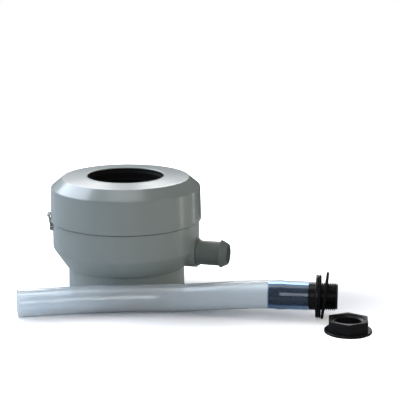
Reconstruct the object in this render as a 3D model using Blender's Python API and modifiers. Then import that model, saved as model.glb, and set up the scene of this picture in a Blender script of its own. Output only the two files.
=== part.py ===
"""Rainwater collector kit: a downpipe collector drum, a clear hose and a tank connector.

Metres, +Z up. The drum's axis is vertical. All lengths below are real sizes, and every
piece that seats on another takes its size from the same values and a named clearance.
"""
import math

import bmesh
import bpy
from mathutils import Matrix, Vector

# ---------------------------------------------------------------- clearances
GAP = 0.0003                  # between two pieces that seat on each other
LOOSE = 0.0013                # between the loose washer and the thread it hangs on
SINK = 0.0005                 # shapes joined into one piece reach into each other by this
CUT_PAST = 0.0050             # cutters run past what they cut by this
LIP_ROUND = 0.0005            # rounding of moulded lips and flange edges

# ---------------------------------------------------------------- drum, upper shell
TOP_Z = 0.1208                # rim of the pipe opening, above the table
OPENING_R = 0.0382            # pipe opening, for a 75 mm downpipe
WALL = 0.0026                 # moulded wall of both shells
RIM_ROUND = 0.0009
CONE_DROP = 0.0017            # the top falls a little from the rim to its edge
CHAMFER_WIDTH = 0.0113        # sloping band round the top, measured across
CHAMFER_DROP = 0.0094
CAP_OVERHANG = 0.0020         # the upper shell stands out past the lower one
CAP_DRAFT = 0.0010            # the side leans in by this much towards the top
SEAM_Z = 0.0765               # lower edge of the upper shell
EDGE_ROUND = 0.0016
NECK_WALL = 0.0020
NECK_ROUND = 0.0010           # fillet between the neck and the top
NECK_LENGTH = 0.0290          # inlet neck, hanging from the rim
SLEEVE_LIP = 0.0030           # grey lip above the inlet sleeve
SLEEVE_DEPTH = 0.0014         # recess that the inlet sleeve sits in
SLEEVE_WALL = 0.0020
SLEEVE_RIB = 0.0006           # height of the sleeve's sealing ribs
SLEEVE_RIBS = 3

# ---------------------------------------------------------------- drum, lower shell
BODY_R = 0.07415              # outer wall below the seam
BODY_WALL_END_Z = 0.0490      # the wall runs straight down to here
BODY_ROUND = 0.0070
FLOOR_Z = 0.0298              # underside of the ledge round the socket
LEDGE_WIDTH = 0.0024
SPIGOT_R = 0.0588             # socket for the lower pipe, outside
FLOOR_WALL = 0.0030
COLLAR_RISE = 0.0125          # collar that stands up inside the upper shell
SEAL_RISE = 0.0065            # height of the joint ring above the seam
SEAL_R = 0.0009               # section radius of the joint ring
GROOVE_WALL = 0.0012          # wall left behind the joint ring's groove
PIPE_STOP_RISE = 0.0028       # the socket's pipe stop lies this far under the floor
SOCKET_RING_Z = 0.0130
SOCKET_RING_HEIGHT = 0.0050
SOCKET_RING_DEPTH = 0.0011
SOCKET_LIP = 0.0010           # how far the socket ring's lip stands into the bore
SOCKET_LIP_DROP = 0.0012      # the lip's edge lies this far under the ring's top

# ---------------------------------------------------------------- overflow riser and filter
RISER_R = 0.0452              # overflow riser, outside
RISER_WALL = 0.0022
RISER_TOP_Z = 0.0620
RISER_FLANGE = 0.0036         # width of the riser's foot flange
RISER_FLANGE_HEIGHT = 0.0020
GASKET_HEIGHT = 0.0016        # flat ring under that flange
CAGE_WALL = 0.0052
CAGE_RING_HEIGHT = 0.0042
CAGE_SKIRT = 0.0052           # skirt that locates the cage on the riser
CAGE_SKIRT_WALL = 0.0014
CAGE_PLATE = 0.0018           # plate that stands on the riser's rim and joins ring and skirt
CAGE_RIBS = 12
CAGE_RIB_WIDTH = 0.0032
NECK_ENTRY = 0.0030           # the neck reaches this far into the cage's upper ring
SCREEN_WALL = 0.0007

# ---------------------------------------------------------------- side outlet
OUTLET_ANGLE = math.radians(-18.0)
OUTLET_Z = 0.0455
OUTLET_R = 0.01215
OUTLET_BORE_R = 0.0094
OUTLET_BOSS_OUT = 0.00085     # the boss stands out past the lower shell's wall
OUTLET_DEPTH = 0.0150         # the spout reaches this far in from the boss's face
OUTLET_LENGTH = 0.0317        # and this far out
OUTLET_COLLAR_LENGTH = 0.0022
OUTLET_COLLAR = 0.0010
OUTLET_BARB_LENGTH = 0.0080
OUTLET_BARB_R = 0.0138
OUTLET_BARB_BACK = 0.0004     # slope behind the barb's crest, measured along the spout
OUTLET_BARB_LAND = 0.0008     # flat on the barb's crest
OUTLET_TIP_R = 0.0103
OUTLET_BOSS_WALL = 0.0026
OUTLET_BOSS_SHORT = 0.0025    # the boss stops this far short of the spout's inner end
OUTLET_RING_IN = 0.0060       # middle of the spout's ring, in from the boss's face
OUTLET_RING_R = 0.0006        # section radius of the spout's ring

# ---------------------------------------------------------------- snap clip
CLIP_ANGLE = math.pi          # on the side away from the outlet
CLIP_WIDTH = 0.0140
CLIP_HINGE_DROP = 0.0075      # hinge under the seam
CLIP_BARREL_R = 0.0010
CLIP_TRUNNION_R = 0.0006
CLIP_THICKNESS = 0.0013
CLIP_TOP_RISE = 0.0057        # top of the thumb lip above the seam
CLIP_LIP_OUT = 0.00335        # tip of the thumb lip, out from the upper shell
CLIP_LEG_OUT = 0.00225        # outside of the leg at its top, out from the upper shell
CLIP_HOOK_DROP = 0.0012       # the hook's lower edge, under the thumb lip
CLIP_HOOK_FOOT = 0.0026       # where the hook leaves the leg, under the thumb lip
LUG_WIDTH = 0.0020
LUG_R = 0.0016
LUG_WEB = 0.0032              # the ears' webs reach this far under the hinge

# ---------------------------------------------------------------- hose
HOSE_R = 0.0135
HOSE_BORE_R = 0.0105
HOSE_SIDES_LEVEL = 4          # bevel resolution, which gives twelve sides
HOSE_STATIONS = 15

# ---------------------------------------------------------------- tank connector
CONNECTOR_ANGLE = math.radians(-10.0)
CONNECTOR_X = 0.1731          # end of the hose on the connector, from the drum's axis
CONNECTOR_Y = -0.1010
BARB_LENGTH = 0.0382
BARB_R = 0.0095
BARB_RING_R = 0.0102
BARB_TIP_R = 0.0089
BARB_RINGS_AT = (0.0277, 0.0146)   # distances back from the hose's end
BARB_LEAD = 0.0035            # slope in front of each ring
BARB_BACK = 0.0008            # slope behind it
CONNECTOR_BORE_R = 0.0078
SHOULDER_R = 0.0131
SHOULDER_LENGTH = 0.0066
FLANGE_R = 0.0204
FLANGE_HEIGHT = 0.0026
THREAD_R = 0.0132             # 3/4 inch pipe thread, outside
THREAD_DEPTH = 0.0012
THREAD_CHAMFER = 0.0008
THREAD_LENGTH = 0.0182        # from the flange to the end
FLAT_GASKET_HEIGHT = 0.0020
WASHER_R = 0.0225
WASHER_HEIGHT = 0.0024
WASHER_TILT = math.radians(6.5)

# ---------------------------------------------------------------- flange nut
NUT_X = 0.2042                # from the drum's axis
NUT_Y = -0.1458
NUT_TURN = math.radians(21.7)
NUT_FLATS = 0.0360            # across the flats
NUT_HEIGHT = 0.0124
NUT_FLANGE_R = 0.0223
NUT_FLANGE_HEIGHT = 0.0022
NUT_CHAMFER = 0.0013

# ---------------------------------------------------------------- facets
DRUM_STEPS = 48
SMALL_STEPS = 24
PIN_STEPS = 12
ROUND_LIMIT = 0.45            # a rounding takes up to this share of a side
WELD = 0.00001
SHARP_ANGLE = math.radians(35.0)

# ---------------------------------------------------------------- sizes that follow
NECK_R = OPENING_R + SLEEVE_DEPTH + NECK_WALL
NECK_END_Z = TOP_Z - NECK_LENGTH
CAP_R = BODY_R + CAP_OVERHANG
CHAMFER_BOTTOM_R = CAP_R - CAP_DRAFT
CHAMFER_TOP_R = CHAMFER_BOTTOM_R - CHAMFER_WIDTH
CONE_EDGE_Z = TOP_Z - CONE_DROP
CHAMFER_BOTTOM_Z = CONE_EDGE_Z - CHAMFER_DROP
CHAMFER_TURN = math.atan2(CHAMFER_WIDTH, CHAMFER_DROP)
CAP_INNER_R = CAP_R - WALL
COLLAR_TOP_Z = SEAM_Z + COLLAR_RISE
DRAFT_AT_COLLAR = CAP_DRAFT * COLLAR_RISE / (CHAMFER_BOTTOM_Z - SEAM_Z)
COLLAR_R = CAP_INNER_R - DRAFT_AT_COLLAR - GAP
GROOVE_R = COLLAR_R - 2 * SEAL_R
BODY_BORE_R = GROOVE_R - GROOVE_WALL
SPIGOT_BORE_R = SPIGOT_R - WALL
PIPE_STOP_Z = FLOOR_Z - PIPE_STOP_RISE
TROUGH_Z = PIPE_STOP_Z + WALL + FLOOR_WALL
THROAT_R = RISER_R + GAP
RISER_FLANGE_Z = TROUGH_Z + GASKET_HEIGHT + 2 * GAP
CAGE_BORE_R = NECK_R + GAP
CAGE_R = CAGE_BORE_R + CAGE_WALL
CAGE_BOTTOM_Z = RISER_TOP_Z + GAP
CAGE_TOP_Z = NECK_END_Z + NECK_ENTRY
BORE_CENTRE_Z = WASHER_R * math.cos(WASHER_TILT) + WASHER_HEIGHT / 2 * math.sin(WASHER_TILT)
WASHER_BORE_R = THREAD_R + LOOSE + GAP
CONNECTOR_Z = BORE_CENTRE_Z - LOOSE + GAP
CLIP_HINGE_R = BODY_R + GAP + CLIP_BARREL_R
CLIP_HINGE_Z = SEAM_Z - CLIP_HINGE_DROP
CLIP_TOP_Z = SEAM_Z + CLIP_TOP_RISE
CLIP_REACH = CAP_R + CLIP_LIP_OUT
CLIP_LEG_R = CAP_R + CLIP_LEG_OUT
OUTLET_FACE = BODY_R + OUTLET_BOSS_OUT
OUTLET_INNER_END = OUTLET_FACE - OUTLET_DEPTH
OUTLET_RING_AT = OUTLET_FACE - OUTLET_RING_IN
OUTLET_REACH = OUTLET_FACE + OUTLET_LENGTH
NUT_BORE_R = THREAD_R - THREAD_DEPTH + GAP

# The kit's frame: the middle of its footprint without the hose, on the table.
DRUM_X = (CLIP_REACH - NUT_X - NUT_FLANGE_R) / 2
DRUM_Y = (NUT_FLANGE_R - NUT_Y - CAP_R) / 2

# The hose's route along its middle, chosen by hand: x and y from the drum's axis, and
# how far the hose has risen off the table on its way up to the connector.
HOSE_ROUTE = (
    (-0.1044, -0.0849, 0.0),
    (-0.0825, -0.0811, 0.0),
    (-0.0610, -0.0778, 0.0),
    (-0.0440, -0.0755, 0.0),
    (-0.0263, -0.0738, 0.0),
    (-0.0080, -0.0729, 0.0),
    (0.0100, -0.0727, 0.0),
    (0.0280, -0.0732, 0.0001),
    (0.0450, -0.0749, 0.0005),
    (0.0620, -0.0774, 0.0014),
    (0.0800, -0.0811, 0.0030),
    (0.0990, -0.0856, 0.0051),
    (0.1160, -0.0900, 0.0068),
)


# ================================================================ tools
def collection(name):
    made = bpy.data.collections.new(name)
    bpy.context.scene.collection.children.link(made)
    return made


def plastic(name, colour, roughness, alpha=1.0):
    """A Principled material; colour is linear red, green, blue."""
    made = bpy.data.materials.new(name)
    made.use_nodes = True
    shader = made.node_tree.nodes["Principled BSDF"]
    shader.inputs["Base Color"].default_value = (*colour, 1.0)
    shader.inputs["Roughness"].default_value = roughness
    shader.inputs["Metallic"].default_value = 0.0
    shader.inputs["Alpha"].default_value = alpha
    return made


def rounded(corners, steps=2):
    """Closed outline through (x, y, radius) corners, each radius turned into an arc."""
    outline = []
    count = len(corners)
    for index, (x, y, radius) in enumerate(corners):
        here = Vector((x, y))
        if radius == 0.0:
            outline.append(here)
            continue
        before = Vector(corners[index - 1][:2]) - here
        after = Vector(corners[(index + 1) % count][:2]) - here
        half = before.angle(after) / 2
        longest = ROUND_LIMIT * min(before.length, after.length)
        reach = min(radius / math.tan(half), longest)
        arc_r = reach * math.tan(half)
        centre = here + (before.normalized() + after.normalized()).normalized() * arc_r / math.sin(half)
        first = here + before.normalized() * reach - centre
        turn = first.angle_signed(here + after.normalized() * reach - centre)
        for step in range(steps + 1):
            swing = Matrix.Rotation(-turn * step / steps, 2)
            outline.append(centre + swing @ first)
    return outline


def place(obj, matrix, group, finish):
    obj.matrix_world = matrix
    group.objects.link(obj)
    if finish is None:
        obj.display_type = "WIRE"
        obj.hide_render = True
    else:
        obj.data.materials.append(finish)
    return obj


def turned(name, corners, matrix, finish, steps=DRUM_STEPS, solid=False):
    """A ring turned about the local Z axis. Corners run down the outside, up the inside.

    A solid piece has its first and last corners on the axis instead.
    """
    outline = rounded(corners)
    mesh = bpy.data.meshes.new(name)
    edges = [(index, (index + 1) % len(outline)) for index in range(len(outline) - int(solid))]
    mesh.from_pydata([(point.x, 0.0, point.y) for point in outline], edges, [])
    obj = bpy.data.objects.new(name, mesh)
    screw = obj.modifiers.new("Turn", "SCREW")
    screw.steps = steps
    screw.render_steps = steps
    screw.use_merge_vertices = True
    screw.merge_threshold = WELD
    return place(obj, matrix, CUTTERS if finish is None else PARTS, finish)


def cylinder(name, radius, low, high, matrix, finish=None, steps=SMALL_STEPS, turn=0.0):
    """A plain cylinder or prism about the local Z axis, from low to high."""
    work = bmesh.new()
    lift = Matrix.Translation((0.0, 0.0, (low + high) / 2)) @ Matrix.Rotation(turn, 4, "Z")
    bmesh.ops.create_cone(work, cap_ends=True, segments=steps, radius1=radius, radius2=radius,
                          depth=high - low, matrix=lift)
    mesh = bpy.data.meshes.new(name)
    work.to_mesh(mesh)
    work.free()
    obj = bpy.data.objects.new(name, mesh)
    return place(obj, matrix, CUTTERS if finish is None else PARTS, finish)


def block(name, size, matrix, finish=None):
    """A box centred on the matrix."""
    work = bmesh.new()
    bmesh.ops.create_cube(work, size=1.0, matrix=Matrix.Diagonal((*size, 1.0)))
    mesh = bpy.data.meshes.new(name)
    work.to_mesh(mesh)
    work.free()
    obj = bpy.data.objects.new(name, mesh)
    return place(obj, matrix, CUTTERS if finish is None else PARTS, finish)


def flat_outline(name, outline, width, matrix, finish):
    """A filled outline in the local XZ plane, as wide as given along local Y."""
    curve = bpy.data.curves.new(name, "CURVE")
    curve.dimensions = "2D"
    curve.fill_mode = "BOTH"
    curve.extrude = width / 2
    spline = curve.splines.new("POLY")
    spline.points.add(len(outline) - 1)
    for point, (x, z) in zip(spline.points, outline):
        point.co = (x, z, 0.0, 1.0)
    spline.use_cyclic_u = True
    obj = bpy.data.objects.new(name, curve)
    stand = matrix @ Matrix.Rotation(math.pi / 2, 4, "X")
    place(obj, stand, CUTTERS if finish is None else PARTS, finish)
    return as_mesh(obj)


def tube(name, points, radius, level, matrix, finish):
    """A round tube with closed ends along the points."""
    curve = bpy.data.curves.new(name, "CURVE")
    curve.dimensions = "3D"
    curve.bevel_depth = radius
    curve.bevel_resolution = level
    curve.use_fill_caps = True
    spline = curve.splines.new("POLY")
    spline.points.add(len(points) - 1)
    for point, place_at in zip(spline.points, points):
        point.co = (*place_at, 1.0)
    obj = bpy.data.objects.new(name, curve)
    place(obj, matrix, CUTTERS if finish is None else PARTS, finish)
    return as_mesh(obj)


def as_mesh(curve_object):
    """The curve object's shape as a welded mesh object of the same name and place."""
    bpy.context.view_layer.update()
    graph = bpy.context.evaluated_depsgraph_get()
    mesh = bpy.data.meshes.new_from_object(curve_object.evaluated_get(graph))
    work = bmesh.new()
    work.from_mesh(mesh)
    bmesh.ops.remove_doubles(work, verts=work.verts, dist=WELD)
    work.to_mesh(mesh)
    work.free()
    name = curve_object.name
    matrix = curve_object.matrix_world.copy()
    group = curve_object.users_collection[0]
    hidden = curve_object.hide_render
    bpy.data.objects.remove(curve_object)
    obj = bpy.data.objects.new(name, mesh)
    obj.matrix_world = matrix
    obj.hide_render = hidden
    obj.display_type = "WIRE" if hidden else "TEXTURED"
    group.objects.link(obj)
    return obj


def combine(obj, others, operation):
    """Boolean the others, which stay as guides, into or out of the object."""
    for other in others:
        step = obj.modifiers.new(other.name, "BOOLEAN")
        step.operation = operation
        step.solver = "EXACT"
        step.object = other
    return obj


def smooth(obj):
    """Keep the evaluated shape and shade it smooth, with its edges sharp."""
    bpy.context.view_layer.update()
    graph = bpy.context.evaluated_depsgraph_get()
    mesh = bpy.data.meshes.new_from_object(obj.evaluated_get(graph))
    mesh.shade_smooth()
    mesh.set_sharp_from_angle(angle=SHARP_ANGLE)
    obj.modifiers.clear()
    obj.data = mesh
    return obj


def ring_section(centre_r, centre_z, radius, sides=8):
    """Corners of a round ring's section, in the order that turned() wants."""
    corners = []
    for side in range(sides):
        angle = math.pi / 2 - 2 * math.pi * (side + 0.5) / sides
        corners.append((centre_r + radius * math.cos(angle), centre_z + radius * math.sin(angle), 0.0))
    return corners


# ================================================================ drum
def cap_shell():
    """Upper shell: opening, shallow cone, sloping band, drafted side and inlet neck."""
    recess_top = TOP_Z - SLEEVE_LIP
    recess_end = NECK_END_Z + SLEEVE_LIP
    recess_r = OPENING_R + SLEEVE_DEPTH
    side_shift = WALL * math.tan(CHAMFER_TURN / 2)
    top_shift = WALL * math.tan((math.pi / 2 - CHAMFER_TURN) / 2)
    corners = (
        (OPENING_R, TOP_Z, RIM_ROUND),
        (CHAMFER_TOP_R, CONE_EDGE_Z, EDGE_ROUND),
        (CHAMFER_BOTTOM_R, CHAMFER_BOTTOM_Z, EDGE_ROUND),
        (CAP_R, SEAM_Z, LIP_ROUND),
        (CAP_INNER_R, SEAM_Z, 0.0),
        (CHAMFER_BOTTOM_R - WALL, CHAMFER_BOTTOM_Z - side_shift, 0.0),
        (CHAMFER_TOP_R - top_shift, CONE_EDGE_Z - WALL, 0.0),
        (NECK_R, TOP_Z - WALL, NECK_ROUND),
        (NECK_R, NECK_END_Z, 0.0),
        (OPENING_R, NECK_END_Z, 0.0),
        (OPENING_R, recess_end, 0.0),
        (recess_r, recess_end, 0.0),
        (recess_r, recess_top, 0.0),
        (OPENING_R, recess_top, 0.0),
    )
    return smooth(turned("cap_shell", corners, DRUM, GREY))


def inlet_sleeve():
    """Rubber sleeve in the neck's recess, with ribs that close on the downpipe."""
    top = TOP_Z - SLEEVE_LIP - GAP
    end = NECK_END_Z + SLEEVE_LIP + GAP
    outer = OPENING_R + SLEEVE_DEPTH - GAP
    inner = outer - SLEEVE_WALL
    pitch = (top - end) / SLEEVE_RIBS
    corners = [(outer, top, 0.0), (outer, end, 0.0)]
    for rib in range(SLEEVE_RIBS):
        foot = end + rib * pitch
        corners.append((inner, foot, 0.0))
        corners.append((inner - SLEEVE_RIB, foot + 0.75 * pitch, 0.0))
    corners.append((inner, top, 0.0))
    return smooth(turned("inlet_sleeve", corners, DRUM, RUBBER))


def housing_shell():
    """Lower shell: collar, wall, rounded shoulder, ledge, socket, trough floor and throat."""
    shoulder_z = SEAM_Z - GAP
    groove_z = SEAM_Z + SEAL_RISE
    groove = SEAL_R + GAP
    ring_r = SPIGOT_BORE_R + SOCKET_RING_DEPTH
    ring_low = SOCKET_RING_Z - GAP
    ring_high = SOCKET_RING_Z + SOCKET_RING_HEIGHT + GAP
    ledge_r = SPIGOT_R + LEDGE_WIDTH
    corners = (
        (COLLAR_R, COLLAR_TOP_Z, LIP_ROUND),
        (COLLAR_R, groove_z + groove, 0.0),
        (GROOVE_R, groove_z + groove, 0.0),
        (GROOVE_R, groove_z - groove, 0.0),
        (COLLAR_R, groove_z - groove, 0.0),
        (COLLAR_R, shoulder_z, 0.0),
        (BODY_R, shoulder_z, 0.0),
        (BODY_R, BODY_WALL_END_Z, BODY_ROUND),
        (ledge_r, FLOOR_Z, EDGE_ROUND),
        (SPIGOT_R, FLOOR_Z, 0.0),
        (SPIGOT_R, 0.0, LIP_ROUND),
        (SPIGOT_BORE_R, 0.0, 0.0),
        (SPIGOT_BORE_R, ring_low, 0.0),
        (ring_r, ring_low, 0.0),
        (ring_r, ring_high, 0.0),
        (SPIGOT_BORE_R, ring_high, 0.0),
        (SPIGOT_BORE_R, PIPE_STOP_Z, 0.0),
        (THROAT_R, PIPE_STOP_Z, 0.0),
        (THROAT_R, TROUGH_Z, 0.0),
        (ledge_r - WALL, TROUGH_Z, 0.0),
        (BODY_BORE_R, BODY_WALL_END_Z + WALL, BODY_ROUND - WALL),
        (BODY_BORE_R, COLLAR_TOP_Z, 0.0),
    )
    shell = turned("housing_shell", corners, DRUM, GREY)
    boss = cylinder("outlet_boss", OUTLET_R + GAP + OUTLET_BOSS_WALL,
                    OUTLET_INNER_END + OUTLET_BOSS_SHORT, OUTLET_FACE, OUTLET)
    hole = cylinder("outlet_hole", OUTLET_R + GAP, OUTLET_INNER_END - CUT_PAST,
                    OUTLET_FACE + CUT_PAST, OUTLET)
    combine(shell, [boss, *clip_lugs()], "UNION")
    combine(shell, [hole, clip_axle_hole()], "DIFFERENCE")
    return smooth(shell)


def clip_lugs():
    """Two ears on the wall that hold the clip's trunnions."""
    lugs = []
    offset = CLIP_WIDTH / 2 + GAP + LUG_WIDTH / 2
    root = BODY_R - WALL / 2 - CLIP_HINGE_R
    outline = rounded((
        (LUG_R, LUG_R, LUG_R),
        (LUG_R, -LUG_R, LUG_R),
        (root, -LUG_WEB, 0.0),
        (root, LUG_R, 0.0),
    ), steps=4)
    for side in (-1, 1):
        seat = CLIP @ Matrix.Translation((0.0, side * offset, 0.0))
        lugs.append(flat_outline(f"clip_lug_{side}", outline, LUG_WIDTH, seat, None))
    return lugs


def clip_axle_hole():
    """Cutter for the holes in both ears."""
    reach = CLIP_WIDTH / 2 + GAP + LUG_WIDTH + CUT_PAST
    along = CLIP @ Matrix.Rotation(math.pi / 2, 4, "X")
    return cylinder("clip_axle_hole", CLIP_TRUNNION_R + GAP, -reach, reach, along,
                    steps=PIN_STEPS)


def joint_ring():
    """Round rubber ring between the two shells."""
    centre_r = GROOVE_R + GAP + SEAL_R
    corners = ring_section(centre_r, SEAM_Z + SEAL_RISE, SEAL_R, 6)
    return smooth(turned("joint_ring", corners, DRUM, RUBBER))


def socket_ring():
    """Lip ring in the lower socket, which grips the lower pipe."""
    outer = SPIGOT_BORE_R + SOCKET_RING_DEPTH - GAP
    top = SOCKET_RING_Z + SOCKET_RING_HEIGHT
    corners = (
        (outer, top, 0.0),
        (outer, SOCKET_RING_Z, 0.0),
        (SPIGOT_BORE_R - GAP, SOCKET_RING_Z, 0.0),
        (SPIGOT_BORE_R - SOCKET_LIP, top - SOCKET_LIP_DROP, 0.0),
        (SPIGOT_BORE_R - GAP, top, 0.0),
    )
    return smooth(turned("socket_ring", corners, DRUM, RUBBER))


def overflow_riser():
    """Tube that stands in the throat: water above its rim runs on down the pipe."""
    flange_r = RISER_R + RISER_FLANGE
    corners = (
        (RISER_R, RISER_TOP_Z, 0.0),
        (RISER_R, RISER_FLANGE_Z + RISER_FLANGE_HEIGHT, 0.0),
        (flange_r, RISER_FLANGE_Z + RISER_FLANGE_HEIGHT, 0.0),
        (flange_r, RISER_FLANGE_Z, 0.0),
        (RISER_R, RISER_FLANGE_Z, 0.0),
        (RISER_R, PIPE_STOP_Z, 0.0),
        (RISER_R - RISER_WALL, PIPE_STOP_Z, 0.0),
        (RISER_R - RISER_WALL, RISER_TOP_Z, 0.0),
    )
    return smooth(turned("overflow_riser", corners, DRUM, BLACK))


def riser_gasket():
    """Flat ring between the riser's flange and the trough floor."""
    low = TROUGH_Z + GAP
    corners = (
        (RISER_R + RISER_FLANGE, low + GASKET_HEIGHT, 0.0),
        (RISER_R + RISER_FLANGE, low, 0.0),
        (RISER_R + GAP, low, 0.0),
        (RISER_R + GAP, low + GASKET_HEIGHT, 0.0),
    )
    return smooth(turned("riser_gasket", corners, DRUM, RUBBER))


def filter_frame():
    """Cage on the riser: a lower ring with a skirt, upright ribs and an upper ring."""
    skirt_r = RISER_R + GAP
    skirt_out = skirt_r + CAGE_SKIRT_WALL
    plate_top = CAGE_BOTTOM_Z + CAGE_PLATE
    lower_top = CAGE_BOTTOM_Z + CAGE_RING_HEIGHT
    upper_low = CAGE_TOP_Z - CAGE_RING_HEIGHT
    frame = turned("filter_frame", (
        (CAGE_R, lower_top, 0.0),
        (CAGE_R, plate_top, 0.0),
        (skirt_out, plate_top, 0.0),
        (skirt_out, CAGE_BOTTOM_Z - CAGE_SKIRT, 0.0),
        (skirt_r, CAGE_BOTTOM_Z - CAGE_SKIRT, 0.0),
        (skirt_r, CAGE_BOTTOM_Z, 0.0),
        (CAGE_BORE_R, CAGE_BOTTOM_Z, 0.0),
        (CAGE_BORE_R, lower_top, 0.0),
    ), DRUM, BLACK)
    upper = turned("filter_upper_ring", (
        (CAGE_R, CAGE_TOP_Z, 0.0),
        (CAGE_R, upper_low, 0.0),
        (CAGE_BORE_R, upper_low, 0.0),
        (CAGE_BORE_R, CAGE_TOP_Z, 0.0),
    ), DRUM, None)
    rib_in = CAGE_BORE_R + SCREEN_WALL + 2 * GAP
    rib_out = CAGE_R - GAP
    height = upper_low - lower_top + CAGE_RING_HEIGHT
    ribs = []
    for index in range(CAGE_RIBS):
        swing = Matrix.Rotation(2 * math.pi * (index + 0.5) / CAGE_RIBS, 4, "Z")
        middle = Matrix.Translation(((rib_in + rib_out) / 2, 0.0, (lower_top + upper_low) / 2))
        ribs.append(block(f"filter_rib_{index + 1:02d}", (rib_out - rib_in, CAGE_RIB_WIDTH, height),
                          DRUM @ swing @ middle))
    return smooth(combine(frame, [upper, *ribs], "UNION"))


def filter_screen():
    """Fine sieve tube inside the ribs, between the two rings."""
    low = CAGE_BOTTOM_Z + CAGE_RING_HEIGHT + GAP
    high = CAGE_TOP_Z - CAGE_RING_HEIGHT - GAP
    outer = CAGE_BORE_R + SCREEN_WALL + GAP
    corners = (
        (outer, high, 0.0),
        (outer, low, 0.0),
        (outer - SCREEN_WALL, low, 0.0),
        (outer - SCREEN_WALL, high, 0.0),
    )
    return smooth(turned("filter_screen", corners, DRUM, STEEL))


def outlet_spout():
    """Side spout: collar against the boss, plain tube, and a barb with a lead-in."""
    collar_end = OUTLET_FACE + GAP + OUTLET_COLLAR_LENGTH
    barb_at = OUTLET_REACH - OUTLET_BARB_LENGTH
    groove_r = OUTLET_R - 2 * OUTLET_RING_R - GAP
    groove = OUTLET_RING_R + GAP
    crest = barb_at + OUTLET_BARB_BACK
    corners = (
        (OUTLET_TIP_R, OUTLET_REACH, LIP_ROUND),
        (OUTLET_BARB_R, crest + OUTLET_BARB_LAND, 0.0),
        (OUTLET_BARB_R, crest, 0.0),
        (OUTLET_R, barb_at, 0.0),
        (OUTLET_R, collar_end, 0.0),
        (OUTLET_R + OUTLET_COLLAR, collar_end, 0.0),
        (OUTLET_R + OUTLET_COLLAR, OUTLET_FACE + GAP, 0.0),
        (OUTLET_R, OUTLET_FACE + GAP, 0.0),
        (OUTLET_R, OUTLET_RING_AT + groove, 0.0),
        (groove_r, OUTLET_RING_AT + groove, 0.0),
        (groove_r, OUTLET_RING_AT - groove, 0.0),
        (OUTLET_R, OUTLET_RING_AT - groove, 0.0),
        (OUTLET_R, OUTLET_INNER_END, 0.0),
        (OUTLET_BORE_R, OUTLET_INNER_END, 0.0),
        (OUTLET_BORE_R, OUTLET_REACH, 0.0),
    )
    return smooth(turned("outlet_spout", corners, OUTLET, DARK, SMALL_STEPS))


def outlet_ring():
    """Round rubber ring in the spout's groove."""
    corners = ring_section(OUTLET_R - OUTLET_RING_R, OUTLET_RING_AT, OUTLET_RING_R, 6)
    return smooth(turned("outlet_ring", corners, OUTLET, RUBBER, SMALL_STEPS))


def lock_clip():
    """Snap clip: barrel and trunnions at the foot, a leg, a hook and a thumb lip."""
    top = CLIP_TOP_Z - CLIP_HINGE_Z
    lip_low = top - CLIP_THICKNESS
    leg_out = CLIP_LEG_R - CLIP_HINGE_R
    lip_out = CLIP_REACH - CLIP_HINGE_R
    hook_in = CAP_R + GAP - CLIP_HINGE_R
    outline = rounded((
        (0.0, 0.0, 0.0),
        (leg_out - CLIP_THICKNESS, lip_low - CLIP_HOOK_FOOT, 0.0),
        (hook_in, lip_low - CLIP_HOOK_DROP, 0.0),
        (hook_in, top, LIP_ROUND),
        (lip_out, top, LIP_ROUND),
        (lip_out, lip_low, LIP_ROUND),
        (leg_out, lip_low, 0.0),
        (CLIP_BARREL_R, 0.0, 0.0),
    ))
    clip = flat_outline("lock_clip", outline, CLIP_WIDTH, CLIP, GREY)
    along = CLIP @ Matrix.Rotation(math.pi / 2, 4, "X")
    half = CLIP_WIDTH / 2
    reach = half + GAP + LUG_WIDTH
    barrel = cylinder("clip_barrel", CLIP_BARREL_R, -half, half, along, steps=PIN_STEPS)
    axle = cylinder("clip_axle", CLIP_TRUNNION_R, -reach, reach, along, steps=PIN_STEPS)
    return smooth(combine(clip, [barrel, axle], "UNION"))


# ================================================================ hose and connector
def route_point(points, at):
    """A point on the smooth curve through the route's points; at runs from 0 to their end."""
    first = min(int(at), len(points) - 2)
    share = at - first
    before = points[max(first - 1, 0)]
    start = points[first]
    end = points[first + 1]
    after = points[min(first + 2, len(points) - 1)]
    return 0.5 * (2 * start + (end - before) * share
                  + (2 * before - 5 * start + 4 * end - after) * share ** 2
                  + (3 * start - before - 3 * end + after) * share ** 3)


def hose():
    """Clear hose with its bore, from its cut end to the connector's shoulder."""
    along = CONNECTOR.to_3x3() @ Vector((0.0, 0.0, 1.0))
    end = DRUM.inverted() @ CONNECTOR.translation
    barb_start = end - along * BARB_LENGTH
    barb_middle = end - along * BARB_LENGTH / 2
    points = [Vector((x, y, HOSE_R + rise)) for x, y, rise in HOSE_ROUTE]
    points += [barb_start, barb_middle]
    last = len(points) - 2
    line = [route_point(points, last * step / HOSE_STATIONS) for step in range(HOSE_STATIONS + 1)]
    line += [barb_middle, end]
    outside = tube("hose", line, HOSE_R, HOSE_SIDES_LEVEL, DRUM, CLEAR)
    sides = 4 + 2 * HOSE_SIDES_LEVEL
    bore_r = HOSE_BORE_R / math.cos(math.pi / sides)
    first_out = line[0] + (line[0] - line[1]).normalized() * CUT_PAST
    bore = tube("hose_bore", [first_out, *line[1:-1], end + along * CUT_PAST], bore_r,
                HOSE_SIDES_LEVEL, DRUM, None)
    return smooth(combine(outside, [bore], "DIFFERENCE"))


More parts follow.
